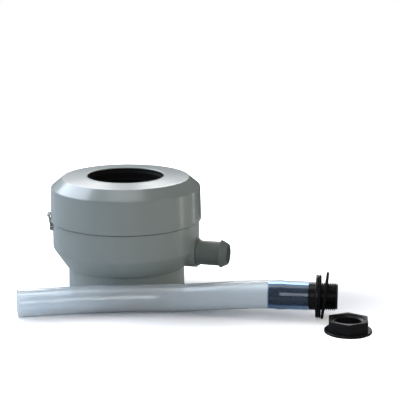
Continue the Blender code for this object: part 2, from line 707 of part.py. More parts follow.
def connector_body():
    """Tank connector: barb with two rings, shoulder, flange and pipe thread."""
    flange_at = GAP + SHOULDER_LENGTH
    thread_at = flange_at + FLANGE_HEIGHT
    thread_end = thread_at + THREAD_LENGTH
    barb = []
    for ring_at in reversed(BARB_RINGS_AT):
        barb.append((BARB_R, BARB_BACK - ring_at, 0.0))
        barb.append((BARB_RING_R, -ring_at, 0.0))
        barb.append((BARB_R, -ring_at - BARB_LEAD, 0.0))
    barb.pop()
    corners = (
        (THREAD_R, thread_end, THREAD_CHAMFER),
        (THREAD_R, thread_at, 0.0),
        (FLANGE_R, thread_at, LIP_ROUND),
        (FLANGE_R, flange_at, LIP_ROUND),
        (SHOULDER_R, flange_at, 0.0),
        (SHOULDER_R, GAP, LIP_ROUND),
        (BARB_R, GAP, 0.0),
        *barb,
        (BARB_TIP_R, -BARB_LENGTH, 0.0),
        (CONNECTOR_BORE_R, -BARB_LENGTH, 0.0),
        (CONNECTOR_BORE_R, thread_end, 0.0),
    )
    return smooth(turned("connector_body", corners, CONNECTOR, BLACK, SMALL_STEPS))


def flange_gasket():
    """Flat rubber ring on the connector's flange, which seals on the tank wall."""
    low = GAP + SHOULDER_LENGTH + FLANGE_HEIGHT + GAP
    corners = (
        (FLANGE_R, low + FLAT_GASKET_HEIGHT, 0.0),
        (FLANGE_R, low, 0.0),
        (THREAD_R + GAP, low, 0.0),
        (THREAD_R + GAP, low + FLAT_GASKET_HEIGHT, 0.0),
    )
    return smooth(turned("flange_gasket", corners, CONNECTOR, RUBBER, SMALL_STEPS))


def sealing_washer():
    """Loose washer that hangs on the thread and leans on the flange's gasket."""
    face = 2 * GAP + SHOULDER_LENGTH + FLANGE_HEIGHT + FLAT_GASKET_HEIGHT
    lean = WASHER_R * math.sin(WASHER_TILT) + WASHER_HEIGHT / 2
    raised = BORE_CENTRE_Z - CONNECTOR_Z
    middle = Matrix.Translation((0.0, raised, face + GAP + lean)) @ Matrix.Rotation(WASHER_TILT, 4, "X")
    half = WASHER_HEIGHT / 2
    corners = (
        (WASHER_R, half, LIP_ROUND),
        (WASHER_R, -half, LIP_ROUND),
        (WASHER_BORE_R, -half, 0.0),
        (WASHER_BORE_R, half, 0.0),
    )
    return smooth(turned("sealing_washer", corners, CONNECTOR @ middle, RUBBER, SMALL_STEPS))


def nut_bore():
    """Cutter for the nut's bore, with a bevelled mouth at each end."""
    mouth_r = NUT_BORE_R + 2 * NUT_CHAMFER
    corners = (
        (0.0, NUT_HEIGHT + NUT_CHAMFER, 0.0),
        (mouth_r, NUT_HEIGHT + NUT_CHAMFER, 0.0),
        (NUT_BORE_R, NUT_HEIGHT - NUT_CHAMFER, 0.0),
        (NUT_BORE_R, NUT_CHAMFER, 0.0),
        (mouth_r, -NUT_CHAMFER, 0.0),
        (0.0, -NUT_CHAMFER, 0.0),
    )
    return turned("nut_bore", corners, NUT, None, SMALL_STEPS, solid=True)


def flange_nut():
    """Hexagon nut with a round flange, lying on the table beside the connector."""
    corner_r = NUT_FLATS / 2 / math.cos(math.pi / 6)
    core_r = NUT_BORE_R - NUT_CHAMFER
    nut = turned("flange_nut", (
        (NUT_FLANGE_R, NUT_FLANGE_HEIGHT, LIP_ROUND),
        (NUT_FLANGE_R, 0.0, 0.0),
        (core_r, 0.0, 0.0),
        (core_r, NUT_FLANGE_HEIGHT, 0.0),
    ), NUT, BLACK, SMALL_STEPS)
    hexagon = cylinder("nut_hexagon", corner_r, NUT_FLANGE_HEIGHT - SINK, NUT_HEIGHT, NUT,
                       steps=6, turn=NUT_TURN)
    combine(nut, [hexagon], "UNION")
    combine(nut, [nut_bore()], "DIFFERENCE")
    return smooth(nut)


# ================================================================ the kit
for old in list(bpy.data.objects):
    bpy.data.objects.remove(old)

PARTS = collection("rain_collector_kit")
CUTTERS = collection("cutters")

GREY = plastic("grey_shell_plastic", (0.160, 0.190, 0.205), 0.22)
DARK = plastic("dark_grey_plastic", (0.045, 0.048, 0.048), 0.35)
BLACK = plastic("black_plastic", (0.012, 0.013, 0.016), 0.35)
RUBBER = plastic("black_rubber", (0.010, 0.010, 0.010), 0.70)
STEEL = plastic("sieve_steel", (0.300, 0.300, 0.290), 0.40)
CLEAR = plastic("clear_hose_vinyl", (0.780, 0.840, 0.880), 0.10, 0.35)

# Each matrix puts a group's local Z axis on that group's real axis.
DRUM = Matrix.Translation((DRUM_X, DRUM_Y, 0.0))
OUTLET = (DRUM @ Matrix.Rotation(OUTLET_ANGLE, 4, "Z") @ Matrix.Translation((0.0, 0.0, OUTLET_Z))
          @ Matrix.Rotation(math.pi / 2, 4, "Y"))
CLIP = (DRUM @ Matrix.Rotation(CLIP_ANGLE, 4, "Z")
        @ Matrix.Translation((CLIP_HINGE_R, 0.0, CLIP_HINGE_Z)))
CONNECTOR = (DRUM @ Matrix.Translation((CONNECTOR_X, CONNECTOR_Y, CONNECTOR_Z))
             @ Matrix.Rotation(CONNECTOR_ANGLE, 4, "Z") @ Matrix.Rotation(math.pi / 2, 4, "Y")
             @ Matrix.Rotation(math.pi / 2, 4, "Z"))
NUT = DRUM @ Matrix.Translation((NUT_X, NUT_Y, 0.0))

housing_shell()
joint_ring()
socket_ring()
overflow_riser()
riser_gasket()
filter_frame()
filter_screen()
cap_shell()
inlet_sleeve()
outlet_spout()
outlet_ring()
lock_clip()
hose()
connector_body()
flange_gasket()
sealing_washer()
flange_nut()
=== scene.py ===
"""Looks of the rainwater collector kit: a grey downpipe drum, a clear hose and a black tank connector.

Metres, +Z up. Sizes are the real ones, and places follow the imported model.
"""

import math

import bmesh
import bpy
from mathutils import Matrix, Vector


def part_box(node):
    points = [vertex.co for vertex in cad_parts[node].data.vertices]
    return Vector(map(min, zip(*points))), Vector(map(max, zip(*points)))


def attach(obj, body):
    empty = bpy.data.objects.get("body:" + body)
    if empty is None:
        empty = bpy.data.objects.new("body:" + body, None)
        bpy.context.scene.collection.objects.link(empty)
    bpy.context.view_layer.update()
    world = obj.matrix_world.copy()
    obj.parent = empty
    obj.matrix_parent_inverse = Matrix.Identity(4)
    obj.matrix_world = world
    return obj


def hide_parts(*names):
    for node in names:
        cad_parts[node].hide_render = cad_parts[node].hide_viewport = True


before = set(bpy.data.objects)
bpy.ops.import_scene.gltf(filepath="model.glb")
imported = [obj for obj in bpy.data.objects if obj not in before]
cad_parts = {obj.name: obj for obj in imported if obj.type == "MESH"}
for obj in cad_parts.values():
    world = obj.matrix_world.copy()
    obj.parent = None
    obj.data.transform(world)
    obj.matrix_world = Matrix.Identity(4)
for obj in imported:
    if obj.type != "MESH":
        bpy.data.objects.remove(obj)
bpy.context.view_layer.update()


# ---------------------------------------------------------------- the view and its light
# The camera of the photograph: a long lens, a little over a metre in front of the drum and
# looking down on it by about thirteen degrees, with the drum left of the picture's middle.
ring_low, ring_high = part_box("joint_ring")
AXIS = Vector(((ring_low.x + ring_high.x) / 2, (ring_low.y + ring_high.y) / 2, 0.0))
CAMERA_BACK = 1.313
CAMERA_HEIGHT = 0.3921
CAMERA_DOWN = math.radians(12.777)
CAMERA_TURN = math.radians(-3.266)
FOCAL_LENGTH = 119.75
SENSOR_WIDTH = 36.0

view = bpy.data.cameras.new("view")
view.lens = FOCAL_LENGTH
view.sensor_width = SENSOR_WIDTH
camera = bpy.data.objects.new("view", view)
camera.location = AXIS + Vector((0.0, -CAMERA_BACK, CAMERA_HEIGHT))
camera.rotation_euler = (math.radians(90.0) - CAMERA_DOWN, 0.0, CAMERA_TURN)
bpy.context.scene.collection.objects.link(camera)
bpy.context.scene.camera = camera
bpy.context.scene.view_settings.view_transform = "Standard"


def srgb(code):
    """Linear red, green, blue and alpha of a colour written as RRGGBB."""
    channels = [int(code[at:at + 2], 16) / 255 for at in (0, 2, 4)]
    return (*[c / 12.92 if c <= 0.04045 else ((c + 0.055) / 1.055) ** 2.4 for c in channels], 1.0)


def add(tree, kind, sockets=None, **settings):
    """A new node with its settings, and a value or a link for each socket named."""
    node = tree.nodes.new(kind)
    for name, value in settings.items():
        setattr(node, name, value)
    for name, value in (sockets or {}).items():
        if isinstance(value, bpy.types.NodeSocket):
            tree.links.new(value, node.inputs[name])
        else:
            node.inputs[name].default_value = value
    return node


# The background is white for the camera and for what the clear vinyl shows of it. Gloss sees a
# studio that is white high up and behind, and dimmer low down, in front and on the right.
SKY_LIGHT = 0.15
SKY_HIGH = 0.85
SKY_LOW = 0.25
SKY_FRONT = 0.35
SKY_RIGHT = 0.15
LAMP_AIM_Z = 0.07
world = bpy.data.worlds.new("studio")
world.use_nodes = True
bpy.context.scene.world = world
sky = world.node_tree
sky.nodes.clear()
rays = add(sky, "ShaderNodeLightPath")
aim = add(sky, "ShaderNodeSeparateXYZ", {0: add(sky, "ShaderNodeTexCoord").outputs["Generated"]})
height = add(sky, "ShaderNodeMapRange", {"Value": aim.outputs["Z"], "From Min": 0.06, "From Max": 0.26,
                                         "To Min": SKY_LOW, "To Max": SKY_HIGH})
depth = add(sky, "ShaderNodeMapRange", {"Value": aim.outputs["Y"], "From Min": -0.5, "From Max": 0.3,
                                        "To Min": SKY_FRONT, "To Max": 1.0})
side = add(sky, "ShaderNodeMapRange", {"Value": aim.outputs["X"], "From Min": -0.05, "From Max": 0.35,
                                       "To Min": 1.0, "To Max": SKY_RIGHT})
room = add(sky, "ShaderNodeMath", {0: height.outputs[0], 1: depth.outputs[0]}, operation="MULTIPLY")
room = add(sky, "ShaderNodeMath", {0: room.outputs[0], 1: side.outputs[0]}, operation="MULTIPLY")
lit = add(sky, "ShaderNodeMix", {0: rays.outputs["Is Glossy Ray"], 2: SKY_LIGHT, 3: room.outputs[0]})
clear = add(sky, "ShaderNodeMath", {0: rays.outputs["Is Camera Ray"], 1: rays.outputs["Is Transmission Ray"]},
            operation="MAXIMUM")
level = add(sky, "ShaderNodeMix", {0: clear.outputs[0], 2: lit.outputs[0], 3: 1.0})
background = add(sky, "ShaderNodeBackground", {"Color": srgb("FFFFFF"), "Strength": level.outputs[0]})
add(sky, "ShaderNodeOutputWorld", {"Surface": background.outputs[0]})


def lamp(name, place, energy, colour, width, height):
    """A flat lamp of the width and height, at a place and turned towards the drum."""
    light = bpy.data.lights.new(name, "AREA")
    light.energy = energy
    light.color = srgb(colour)[:3]
    light.shape = "RECTANGLE"
    light.size = width
    light.size_y = height
    holder = bpy.data.objects.new(name, light)
    holder.location = AXIS + Vector(place)
    aim_at = Vector((0.0, 0.0, LAMP_AIM_Z)) - Vector(place)
    holder.rotation_euler = aim_at.to_track_quat("-Z", "Y").to_euler()
    holder.visible_camera = False
    bpy.context.scene.collection.objects.link(holder)


lamp("window_left_behind", (-0.75, 0.55, 0.95), 17.0, "E4EEFF", 0.95, 0.8)
lamp("panel_left_behind", (-0.27, 1.3, 0.84), 3.1, "FFFFFF", 0.5, 0.6)
lamp("panel_right_behind", (0.27, 1.3, 0.84), 3.1, "FFFFFF", 0.5, 0.6)
lamp("top_light", (0.0, 0.0, 1.3), 2.2, "FFFFFF", 0.6, 0.6)
lamp("front_light", (0.15, -1.25, 0.55), 2.6, "FFFFFF", 0.6, 0.6)
lamp("soft_left", (-1.0, -0.35, 0.40), 3.8, "DCE9FF", 0.5, 0.7)
lamp("soft_right", (0.85, -0.50, 0.40), 1.5, "FFEEDB", 0.4, 0.6)
lamp("strip_right", (0.37, -0.036, 0.09), 0.050, "FFF2E0", 0.018, 0.17)
lamp("strip_right_behind", (0.305, 0.135, 0.09), 0.030, "EAF2FF", 0.012, 0.17)

# The floor is pale paper with a painted glow: emission that the camera and the clear vinyl see but that
# lights nothing. It is nil near the kit and rises to white away from it, so the kit's shadows fade sooner
# than the lamps alone would make them.
FLOOR_SIZE = 3.0
GLOW_START = 0.045
GLOW_END = 0.125
GLOW_SQUEEZE = 0.30
paper = bpy.data.materials.new("white_paper")
paper.use_nodes = True
sheet = paper.node_tree
sheet.nodes.clear()
rays = add(sheet, "ShaderNodeLightPath")
spread = add(sheet, "ShaderNodeVectorMath", {0: add(sheet, "ShaderNodeTexCoord").outputs["Object"],
                                             1: (GLOW_SQUEEZE, 1.0, 1.0)}, operation="MULTIPLY")
away = add(sheet, "ShaderNodeVectorMath", {0: spread.outputs[0]}, operation="LENGTH")
# Painted glow: how much of the floor's own light shows, from none near the kit to full away from it.
painted_glow_share = add(sheet, "ShaderNodeMapRange", {"Value": away.outputs["Value"], "From Min": GLOW_START,
                                              "From Max": GLOW_END})
seen = add(sheet, "ShaderNodeMath", {0: rays.outputs["Is Camera Ray"],
                                     1: rays.outputs["Is Transmission Ray"]}, operation="MAXIMUM")
painted_glow = add(sheet, "ShaderNodeMath", {0: seen.outputs[0], 1: painted_glow_share.outputs[0]}, operation="MULTIPLY")
own = add(sheet, "ShaderNodeEmission", {"Color": srgb("FFFFFF"), "Strength": painted_glow.outputs[0]})
# Painted reflection: gloss sees the floor darker, AEAEAE against F2F2F2, so its reflections in the kit are
# dimmer than the floor itself.
shade = add(sheet, "ShaderNodeMix", {0: rays.outputs["Is Glossy Ray"], 6: srgb("F2F2F2"), 7: srgb("AEAEAE")},
            data_type="RGBA")
matt = add(sheet, "ShaderNodeBsdfDiffuse", {"Color": shade.outputs[2]})
both = add(sheet, "ShaderNodeAddShader", {0: own.outputs[0], 1: matt.outputs[0]})
add(sheet, "ShaderNodeOutputMaterial", {"Surface": both.outputs[0]})


def square(name, half_side, place, finish):
    """A flat square of the finish, lying at its place."""
    mesh = bpy.data.meshes.new(name)
    work = bmesh.new()
    bmesh.ops.create_grid(work, x_segments=1, y_segments=1, size=half_side, matrix=place)
    work.to_mesh(mesh)
    work.free()
    mesh.materials.append(finish)
    made = bpy.data.objects.new(name, mesh)
    bpy.context.scene.collection.objects.link(made)
    return made


floor = square("floor", FLOOR_SIZE / 2, Matrix.Identity(4), paper)

# A dark card that lies on the floor to the right, behind the drum, and that only gloss sees.
CARD_HALF_SIDE = 0.42
CARD_AT = Vector((0.371, 0.673, 0.002))
CARD_TURN = math.radians(-24.0)
felt = bpy.data.materials.new("dark_felt")
felt.use_nodes = True
felt.node_tree.nodes["Principled BSDF"].inputs["Base Color"].default_value = srgb("2A2B2A")
felt.node_tree.nodes["Principled BSDF"].inputs["Roughness"].default_value = 1.0
card_place = Matrix.Translation(AXIS + CARD_AT) @ Matrix.Rotation(CARD_TURN, 4, "Z")
flag = square("dark_card", CARD_HALF_SIDE, card_place, felt)
flag.visible_camera = False
flag.visible_diffuse = False
flag.visible_transmission = False
flag.visible_shadow = False


# ---------------------------------------------------------------- hose
# Soft clear PVC hose, extruded, 27 mm outside and 21 mm inside, and cut square at its free end.
# It is pushed over the connector's barb up to the shoulder, and swells a little over a ring.
HOSE_R = 0.0135
HOSE_BORE_R = 0.0105
BARB_LENGTH = 0.0382
HOSE_ROUTE = (
    (-0.1044, -0.0849, 0.0),
    (-0.0825, -0.0811, 0.0),
    (-0.0610, -0.0778, 0.0),
    (-0.0440, -0.0755, 0.0),
    (-0.0263, -0.0738, 0.0),
    (-0.0080, -0.0729, 0.0),
    (0.0100, -0.0727, 0.0),
    (0.0280, -0.0732, 0.0001),
    (0.0450, -0.0749, 0.0005),
    (0.0620, -0.0774, 0.0014),
    (0.0800, -0.0811, 0.0030),
    (0.0990, -0.0856, 0.0051),
    (0.1160, -0.0900, 0.0068),
)
CONNECTOR_TURN = math.radians(-10.0)
CONNECTOR_END = AXIS + Vector((0.1731, -0.1010, 0.021491))
CONNECTOR_ALONG = Vector((math.cos(CONNECTOR_TURN), math.sin(CONNECTOR_TURN), 0.0))
FINE_STATIONS = 12
BARB_STATIONS = 48
HOSE_FACETS = 22
WELD = 0.000001
SWELLING = 0.0005
SWELLING_AT = 0.0270
SWELLING_WIDTH = 0.0050


def route_point(points, first, share):
    """A point on the smooth curve from one route point to the next."""
    before = points[max(first - 1, 0)]
    start = points[first]
    end = points[first + 1]
    after = points[min(first + 2, len(points) - 1)]
    return 0.5 * (2 * start + (end - before) * share
                  + (2 * before - 5 * start + 4 * end - after) * share ** 2
                  + (3 * start - before - 3 * end + after) * share ** 3)


barb_start = CONNECTOR_END - CONNECTOR_ALONG * BARB_LENGTH
barb_middle = CONNECTOR_END - CONNECTOR_ALONG * BARB_LENGTH / 2
route = [AXIS + Vector((x, y, HOSE_R + rise)) for x, y, rise in HOSE_ROUTE] + [barb_start, barb_middle]
hose_line = [route_point(route, first, step / FINE_STATIONS)
             for first in range(len(route) - 3) for step in range(FINE_STATIONS)]
hose_line += [route_point(route, len(route) - 3, step / FINE_STATIONS) for step in range(FINE_STATIONS)]
hose_line += [barb_start.lerp(CONNECTOR_END, step / BARB_STATIONS) for step in range(BARB_STATIONS + 1)]


def evaluated(obj):
    """The object's final shape as a mesh of its own. The object is removed."""
    bpy.context.scene.collection.objects.link(obj)
    bpy.context.view_layer.update()
    mesh = bpy.data.meshes.new_from_object(obj.evaluated_get(bpy.context.evaluated_depsgraph_get()))
    bpy.data.objects.remove(obj)
    return mesh


def piece(name, mesh, finish, slot, body, *nodes, sharp=30.0):
    made = bpy.data.objects.new(name, mesh)
    bpy.context.scene.collection.objects.link(made)
    mesh.materials.clear()
    mesh.materials.append(finish)
    mesh.shade_smooth()
    mesh.set_sharp_from_angle(angle=math.radians(sharp))
    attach(made, body)
    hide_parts(*nodes)
    return made


line = bpy.data.curves.new("hose_line", "CURVE")
line.dimensions = "3D"
line.bevel_depth = HOSE_R
line.bevel_resolution = HOSE_FACETS
spline = line.splines.new("POLY")
spline.points.add(len(hose_line) - 1)
for point, at in zip(spline.points, hose_line):
    point.co = (*at, 1.0)
hose_mesh = evaluated(bpy.data.objects.new("hose_line", line))
work = bmesh.new()
work.from_mesh(hose_mesh)
bmesh.ops.remove_doubles(work, verts=work.verts, dist=WELD)
bmesh.ops.recalc_face_normals(work, faces=work.faces)
bmesh.ops.solidify(work, geom=work.faces[:], thickness=HOSE_R - HOSE_BORE_R)
for vert in work.verts:
    back = (CONNECTOR_END - vert.co).dot(CONNECTOR_ALONG)
    off_axis = vert.co - (CONNECTOR_END - CONNECTOR_ALONG * back)
    vert.co += off_axis.normalized() * SWELLING * math.exp(-((back - SWELLING_AT) / SWELLING_WIDTH) ** 2)
bmesh.ops.recalc_face_normals(work, faces=work.faces)
work.to_mesh(hose_mesh)
work.free()

# Soft PVC, clear but a little milky and blue, so it veils what is behind it. The surface has a
# faint orange peel, drawn at 6 mm where the real one is finer.
MILK_SIZE = 0.030
PEEL_SIZE = 0.006
PEEL_HEIGHT = 0.00001
CLEARNESS = 0.68
CLEARNESS_ON_BARB = 0.98
PRESSED_START = 0.0392
PRESSED_FULL = 0.0376
vinyl = bpy.data.materials.new("clear_milky_pvc")
vinyl.use_nodes = True
tree = vinyl.node_tree
shader = tree.nodes["Principled BSDF"]
where = add(tree, "ShaderNodeTexCoord")
cloud = add(tree, "ShaderNodeTexNoise", {"Vector": where.outputs["Object"], "Scale": 1 / MILK_SIZE})
tint = add(tree, "ShaderNodeMix", {0: cloud.outputs["Fac"], 6: srgb("E6F2FD"), 7: srgb("EFF8FF")},
           data_type="RGBA")
peel = add(tree, "ShaderNodeTexNoise", {"Vector": where.outputs["Object"], "Scale": 1 / PEEL_SIZE})
relief = add(tree, "ShaderNodeBump", {"Height": peel.outputs["Fac"], "Distance": PEEL_HEIGHT,
                                      "Strength": 0.1})
tree.links.new(relief.outputs[0], shader.inputs["Normal"])
# Where the wall is stretched on the barb it touches the black plastic. The milky veil is nearly
# gone there, and what is left of it looks blue.
along = add(tree, "ShaderNodeVectorMath", {0: where.outputs["Object"], 1: tuple(CONNECTOR_ALONG)},
            operation="DOT_PRODUCT")
shoulder = CONNECTOR_END.dot(CONNECTOR_ALONG)
pressed = add(tree, "ShaderNodeMapRange", {"Value": along.outputs["Value"],
                                           "From Min": shoulder - PRESSED_START,
                                           "From Max": shoulder - PRESSED_FULL})
body_tint = add(tree, "ShaderNodeMix", {0: pressed.outputs[0], 6: tint.outputs[2], 7: srgb("86A6CC")},
                data_type="RGBA")
clearness = add(tree, "ShaderNodeMapRange", {"Value": pressed.outputs[0], "To Min": CLEARNESS,
                                             "To Max": CLEARNESS_ON_BARB})
tree.links.new(body_tint.outputs[2], shader.inputs["Base Color"])
tree.links.new(clearness.outputs[0], shader.inputs["Transmission Weight"])
shader.inputs["Subsurface Weight"].default_value = 1.0
shader.inputs["Subsurface Radius"].default_value = (1.0, 1.05, 1.1)
shader.inputs["Subsurface Scale"].default_value = 0.012
shader.inputs["Roughness"].default_value = 0.02
shader.inputs["IOR"].default_value = 1.53
hose = piece("hose_clear", hose_mesh, vinyl, "clear_vinyl", "hose_set", "hose")


# ---------------------------------------------------------------- lower shell
# Injection-moulded grey ABS: a collar that enters the upper shell, a straight wall, a rounded
# shoulder, the socket for the lower pipe, a boss for the spout and two ears for the clip.
GAP = 0.0003
WALL = 0.0026
TINY_ROUND = 0.0002
FINE_ROUND = 0.0003
SOFT_ROUND = 0.0004
LIP_ROUND = 0.0005
RIM_ROUND = 0.0006
SEAM_Z = 0.0765
SEAM_GROOVE = 0.0010
CAP_R = 0.07615
BODY_R = 0.07415
BODY_WALL_END_Z = 0.0490
BODY_ROUND = 0.0070
COLLAR_TOP_Z = 0.0890
COLLAR_R = 0.07287
JOINT_RING_Z = 0.0830
JOINT_RING_R = 0.0009
GROOVE_R = COLLAR_R - 2 * JOINT_RING_R
GROOVE_WALL = 0.0012
BODY_BORE_R = GROOVE_R - GROOVE_WALL
FLOOR_Z = 0.0298
SOCKET_R = 0.0588
SOCKET_BORE_R = SOCKET_R - WALL
LEDGE_WIDTH = 0.0024
LEDGE_R = SOCKET_R + LEDGE_WIDTH
LEDGE_ROUND = 0.0016
TROUGH_ROUND = 0.0010
PIPE_STOP_Z = 0.0270
TROUGH_Z = 0.0326
THROAT_R = 0.0455
SOCKET_RING_Z = 0.0130
SOCKET_RING_HEIGHT = 0.0050
SOCKET_RING_DEPTH = 0.0011
OUTLET_TURN = math.radians(-18.0)
OUTLET_Z = 0.0455
OUTLET_R = 0.01215
OUTLET_FACE = 0.0750
OUTLET_INNER_END = 0.0600
BOSS_WALL = 0.0026
BOSS_INNER_END = 0.0625
BOSS_CUT_PAST = 0.005
CLIP_WIDTH = 0.0140
CLIP_HINGE_R = 0.07545
CLIP_HINGE_Z = 0.0690
AXLE_R = 0.0006
EAR_WIDTH = 0.0020
EAR_R = 0.0016
EAR_WEB = 0.0032
CUT_PAST = 0.002
DRUM_STEPS = 192
SMALL_STEPS = 96
BARREL_STEPS = 32
PIN_STEPS = 24
ROUND_STEPS = 5
ROUND_LIMIT = 0.48
SPAN = 0.0045
DRUM = Matrix.Translation(AXIS)
OUTLET = (DRUM @ Matrix.Rotation(OUTLET_TURN, 4, "Z") @ Matrix.Translation((0.0, 0.0, OUTLET_Z))
          @ Matrix.Rotation(math.pi / 2, 4, "Y"))
CLIP = DRUM @ Matrix.Rotation(math.pi, 4, "Z") @ Matrix.Translation((CLIP_HINGE_R, 0.0, CLIP_HINGE_Z))


def outline(corners):
    """Closed outline through (x, z, radius) corners: arcs at the radii, long sides divided.

    An arc takes no more of a side than ROUND_LIMIT, so that two of them never meet.
    """
    rounded = []
    for index, (x, z, radius) in enumerate(corners):
        here = Vector((x, z))
        if radius == 0.0:
            rounded.append(here)
            continue
        before = Vector(corners[index - 1][:2]) - here
        after = Vector(corners[(index + 1) % len(corners)][:2]) - here
        half = before.angle(after) / 2
        reach = min(radius / math.tan(half), ROUND_LIMIT * before.length, ROUND_LIMIT * after.length)
        centre = here + (before.normalized() + after.normalized()).normalized() * reach / math.cos(half)
        first = here + before.normalized() * reach - centre
        turn = first.angle_signed(here + after.normalized() * reach - centre)
        rounded += [centre + Matrix.Rotation(-turn * step / ROUND_STEPS, 2) @ first
                    for step in range(ROUND_STEPS + 1)]
    points = []
    for index, start in enumerate(rounded):
        end = rounded[(index + 1) % len(rounded)]
        count = max(1, math.ceil((end - start).length / SPAN))
        points += [start.lerp(end, step / count) for step in range(count)]
    return points


def as_mesh(work, place):
    """The bmesh as a mesh at its place, welded, with its faces pointing outwards."""
    bmesh.ops.remove_doubles(work, verts=work.verts, dist=WELD)
    bmesh.ops.recalc_face_normals(work, faces=work.faces)
    work.transform(place)
    mesh = bpy.data.meshes.new("shape")
    work.to_mesh(mesh)
    work.free()
    return mesh


def turned(corners, place, steps=DRUM_STEPS):
    """A ring: the outline through the corners, spun round the Z axis of its place."""
    work = bmesh.new()
    verts = [work.verts.new((point.x, 0.0, point.y)) for point in outline(corners)]
    edges = [work.edges.new((verts[at - 1], verts[at])) for at in range(len(verts))]
    bmesh.ops.spin(work, geom=verts + edges, cent=(0.0, 0.0, 0.0), axis=(0.0, 0.0, 1.0),
                   angle=2 * math.pi, steps=steps, use_merge=True)
    return as_mesh(work, place)


def cylinder(radius, low, high, place, steps=SMALL_STEPS):
    """A plain round block about the Z axis of its place, for joining and cutting."""
    work = bmesh.new()
    bmesh.ops.create_cone(work, cap_ends=True, segments=steps, radius1=radius, radius2=radius,
                          depth=high - low, matrix=Matrix.Translation((0.0, 0.0, (low + high) / 2)))
    return as_mesh(work, place)


def plate(corners, width, soften, place):
    """An outline in the XZ plane of its place, made as wide as given along Y, edges softened."""
    work = bmesh.new()
    face = work.faces.new([work.verts.new((point.x, -width / 2, point.y)) for point in outline(corners)])
    made = bmesh.ops.extrude_face_region(work, geom=[face])
    moved = [part for part in made["geom"] if isinstance(part, bmesh.types.BMVert)]
    bmesh.ops.translate(work, verts=moved, vec=(0.0, width, 0.0))
    bmesh.ops.recalc_face_normals(work, faces=work.faces)
    if soften:
        rims = [edge for edge in work.edges if abs(edge.verts[0].co.y - edge.verts[1].co.y) < soften]
        bmesh.ops.bevel(work, geom=rims, offset=soften, offset_type="OFFSET", segments=2, profile=0.5,
                        affect="EDGES", material=-1, clamp_overlap=True)
    return as_mesh(work, place)


def combined(mesh, others, operation):
    """The mesh with the others joined to it (UNION) or cut out of it (DIFFERENCE)."""
    base = bpy.data.objects.new("base", mesh)
    helpers = []
    for other in others:
        helper = bpy.data.objects.new("helper", other)
        bpy.context.scene.collection.objects.link(helper)
        helpers.append(helper)
        step = base.modifiers.new("step", "BOOLEAN")
        step.operation = operation
        step.solver = "EXACT"
        step.object = helper
    made = evaluated(base)
    for helper in helpers:
        bpy.data.objects.remove(helper)
    return made


ring_groove = JOINT_RING_R + GAP
socket_groove_r = SOCKET_BORE_R + SOCKET_RING_DEPTH
lower_shell = turned((
    (COLLAR_R, COLLAR_TOP_Z, LIP_ROUND),
    (COLLAR_R, JOINT_RING_Z + ring_groove, TINY_ROUND),
    (GROOVE_R, JOINT_RING_Z + ring_groove, TINY_ROUND),
    (GROOVE_R, JOINT_RING_Z - ring_groove, TINY_ROUND),
    (COLLAR_R, JOINT_RING_Z - ring_groove, TINY_ROUND),
    (COLLAR_R, SEAM_Z - SEAM_GROOVE, 0.0),
    (BODY_R, SEAM_Z - SEAM_GROOVE, FINE_ROUND),
    (BODY_R, BODY_WALL_END_Z, BODY_ROUND),
    (LEDGE_R, FLOOR_Z, LEDGE_ROUND),
    (SOCKET_R, FLOOR_Z, SOFT_ROUND),
    (SOCKET_R, 0.0, LIP_ROUND),
    (SOCKET_BORE_R, 0.0, LIP_ROUND),
    (SOCKET_BORE_R, SOCKET_RING_Z - GAP, 0.0),
    (socket_groove_r, SOCKET_RING_Z - GAP, 0.0),
    (socket_groove_r, SOCKET_RING_Z + SOCKET_RING_HEIGHT + GAP, 0.0),
    (SOCKET_BORE_R, SOCKET_RING_Z + SOCKET_RING_HEIGHT + GAP, 0.0),
    (SOCKET_BORE_R, PIPE_STOP_Z, RIM_ROUND),
    (THROAT_R, PIPE_STOP_Z, 0.0),
    (THROAT_R, TROUGH_Z, 0.0),
    (LEDGE_R - WALL, TROUGH_Z, TROUGH_ROUND),
    (BODY_BORE_R, BODY_WALL_END_Z + WALL, BODY_ROUND - WALL),
    (BODY_BORE_R, COLLAR_TOP_Z, LIP_ROUND),
), DRUM)
boss = cylinder(OUTLET_R + GAP + BOSS_WALL, BOSS_INNER_END, OUTLET_FACE, OUTLET)
ears = [plate((
    (EAR_R, EAR_R, EAR_R),
    (EAR_R, -EAR_R, EAR_R),
    (BODY_R - WALL / 2 - CLIP_HINGE_R, -EAR_WEB, 0.0),
    (BODY_R - WALL / 2 - CLIP_HINGE_R, EAR_R, 0.0),
), EAR_WIDTH, 0.0, CLIP @ Matrix.Translation((0.0, side * (CLIP_WIDTH + EAR_WIDTH + 2 * GAP) / 2, 0.0)))
    for side in (-1, 1)]
ear_reach = CLIP_WIDTH / 2 + GAP + EAR_WIDTH + CUT_PAST
across = CLIP @ Matrix.Rotation(math.pi / 2, 4, "X")
lower_shell = combined(lower_shell, [boss, *ears], "UNION")
lower_shell = combined(lower_shell, [
    cylinder(OUTLET_R + GAP, OUTLET_INNER_END - BOSS_CUT_PAST, OUTLET_FACE + BOSS_CUT_PAST, OUTLET),
    cylinder(AXLE_R + GAP, -ear_reach, ear_reach, across, PIN_STEPS),
], "DIFFERENCE")


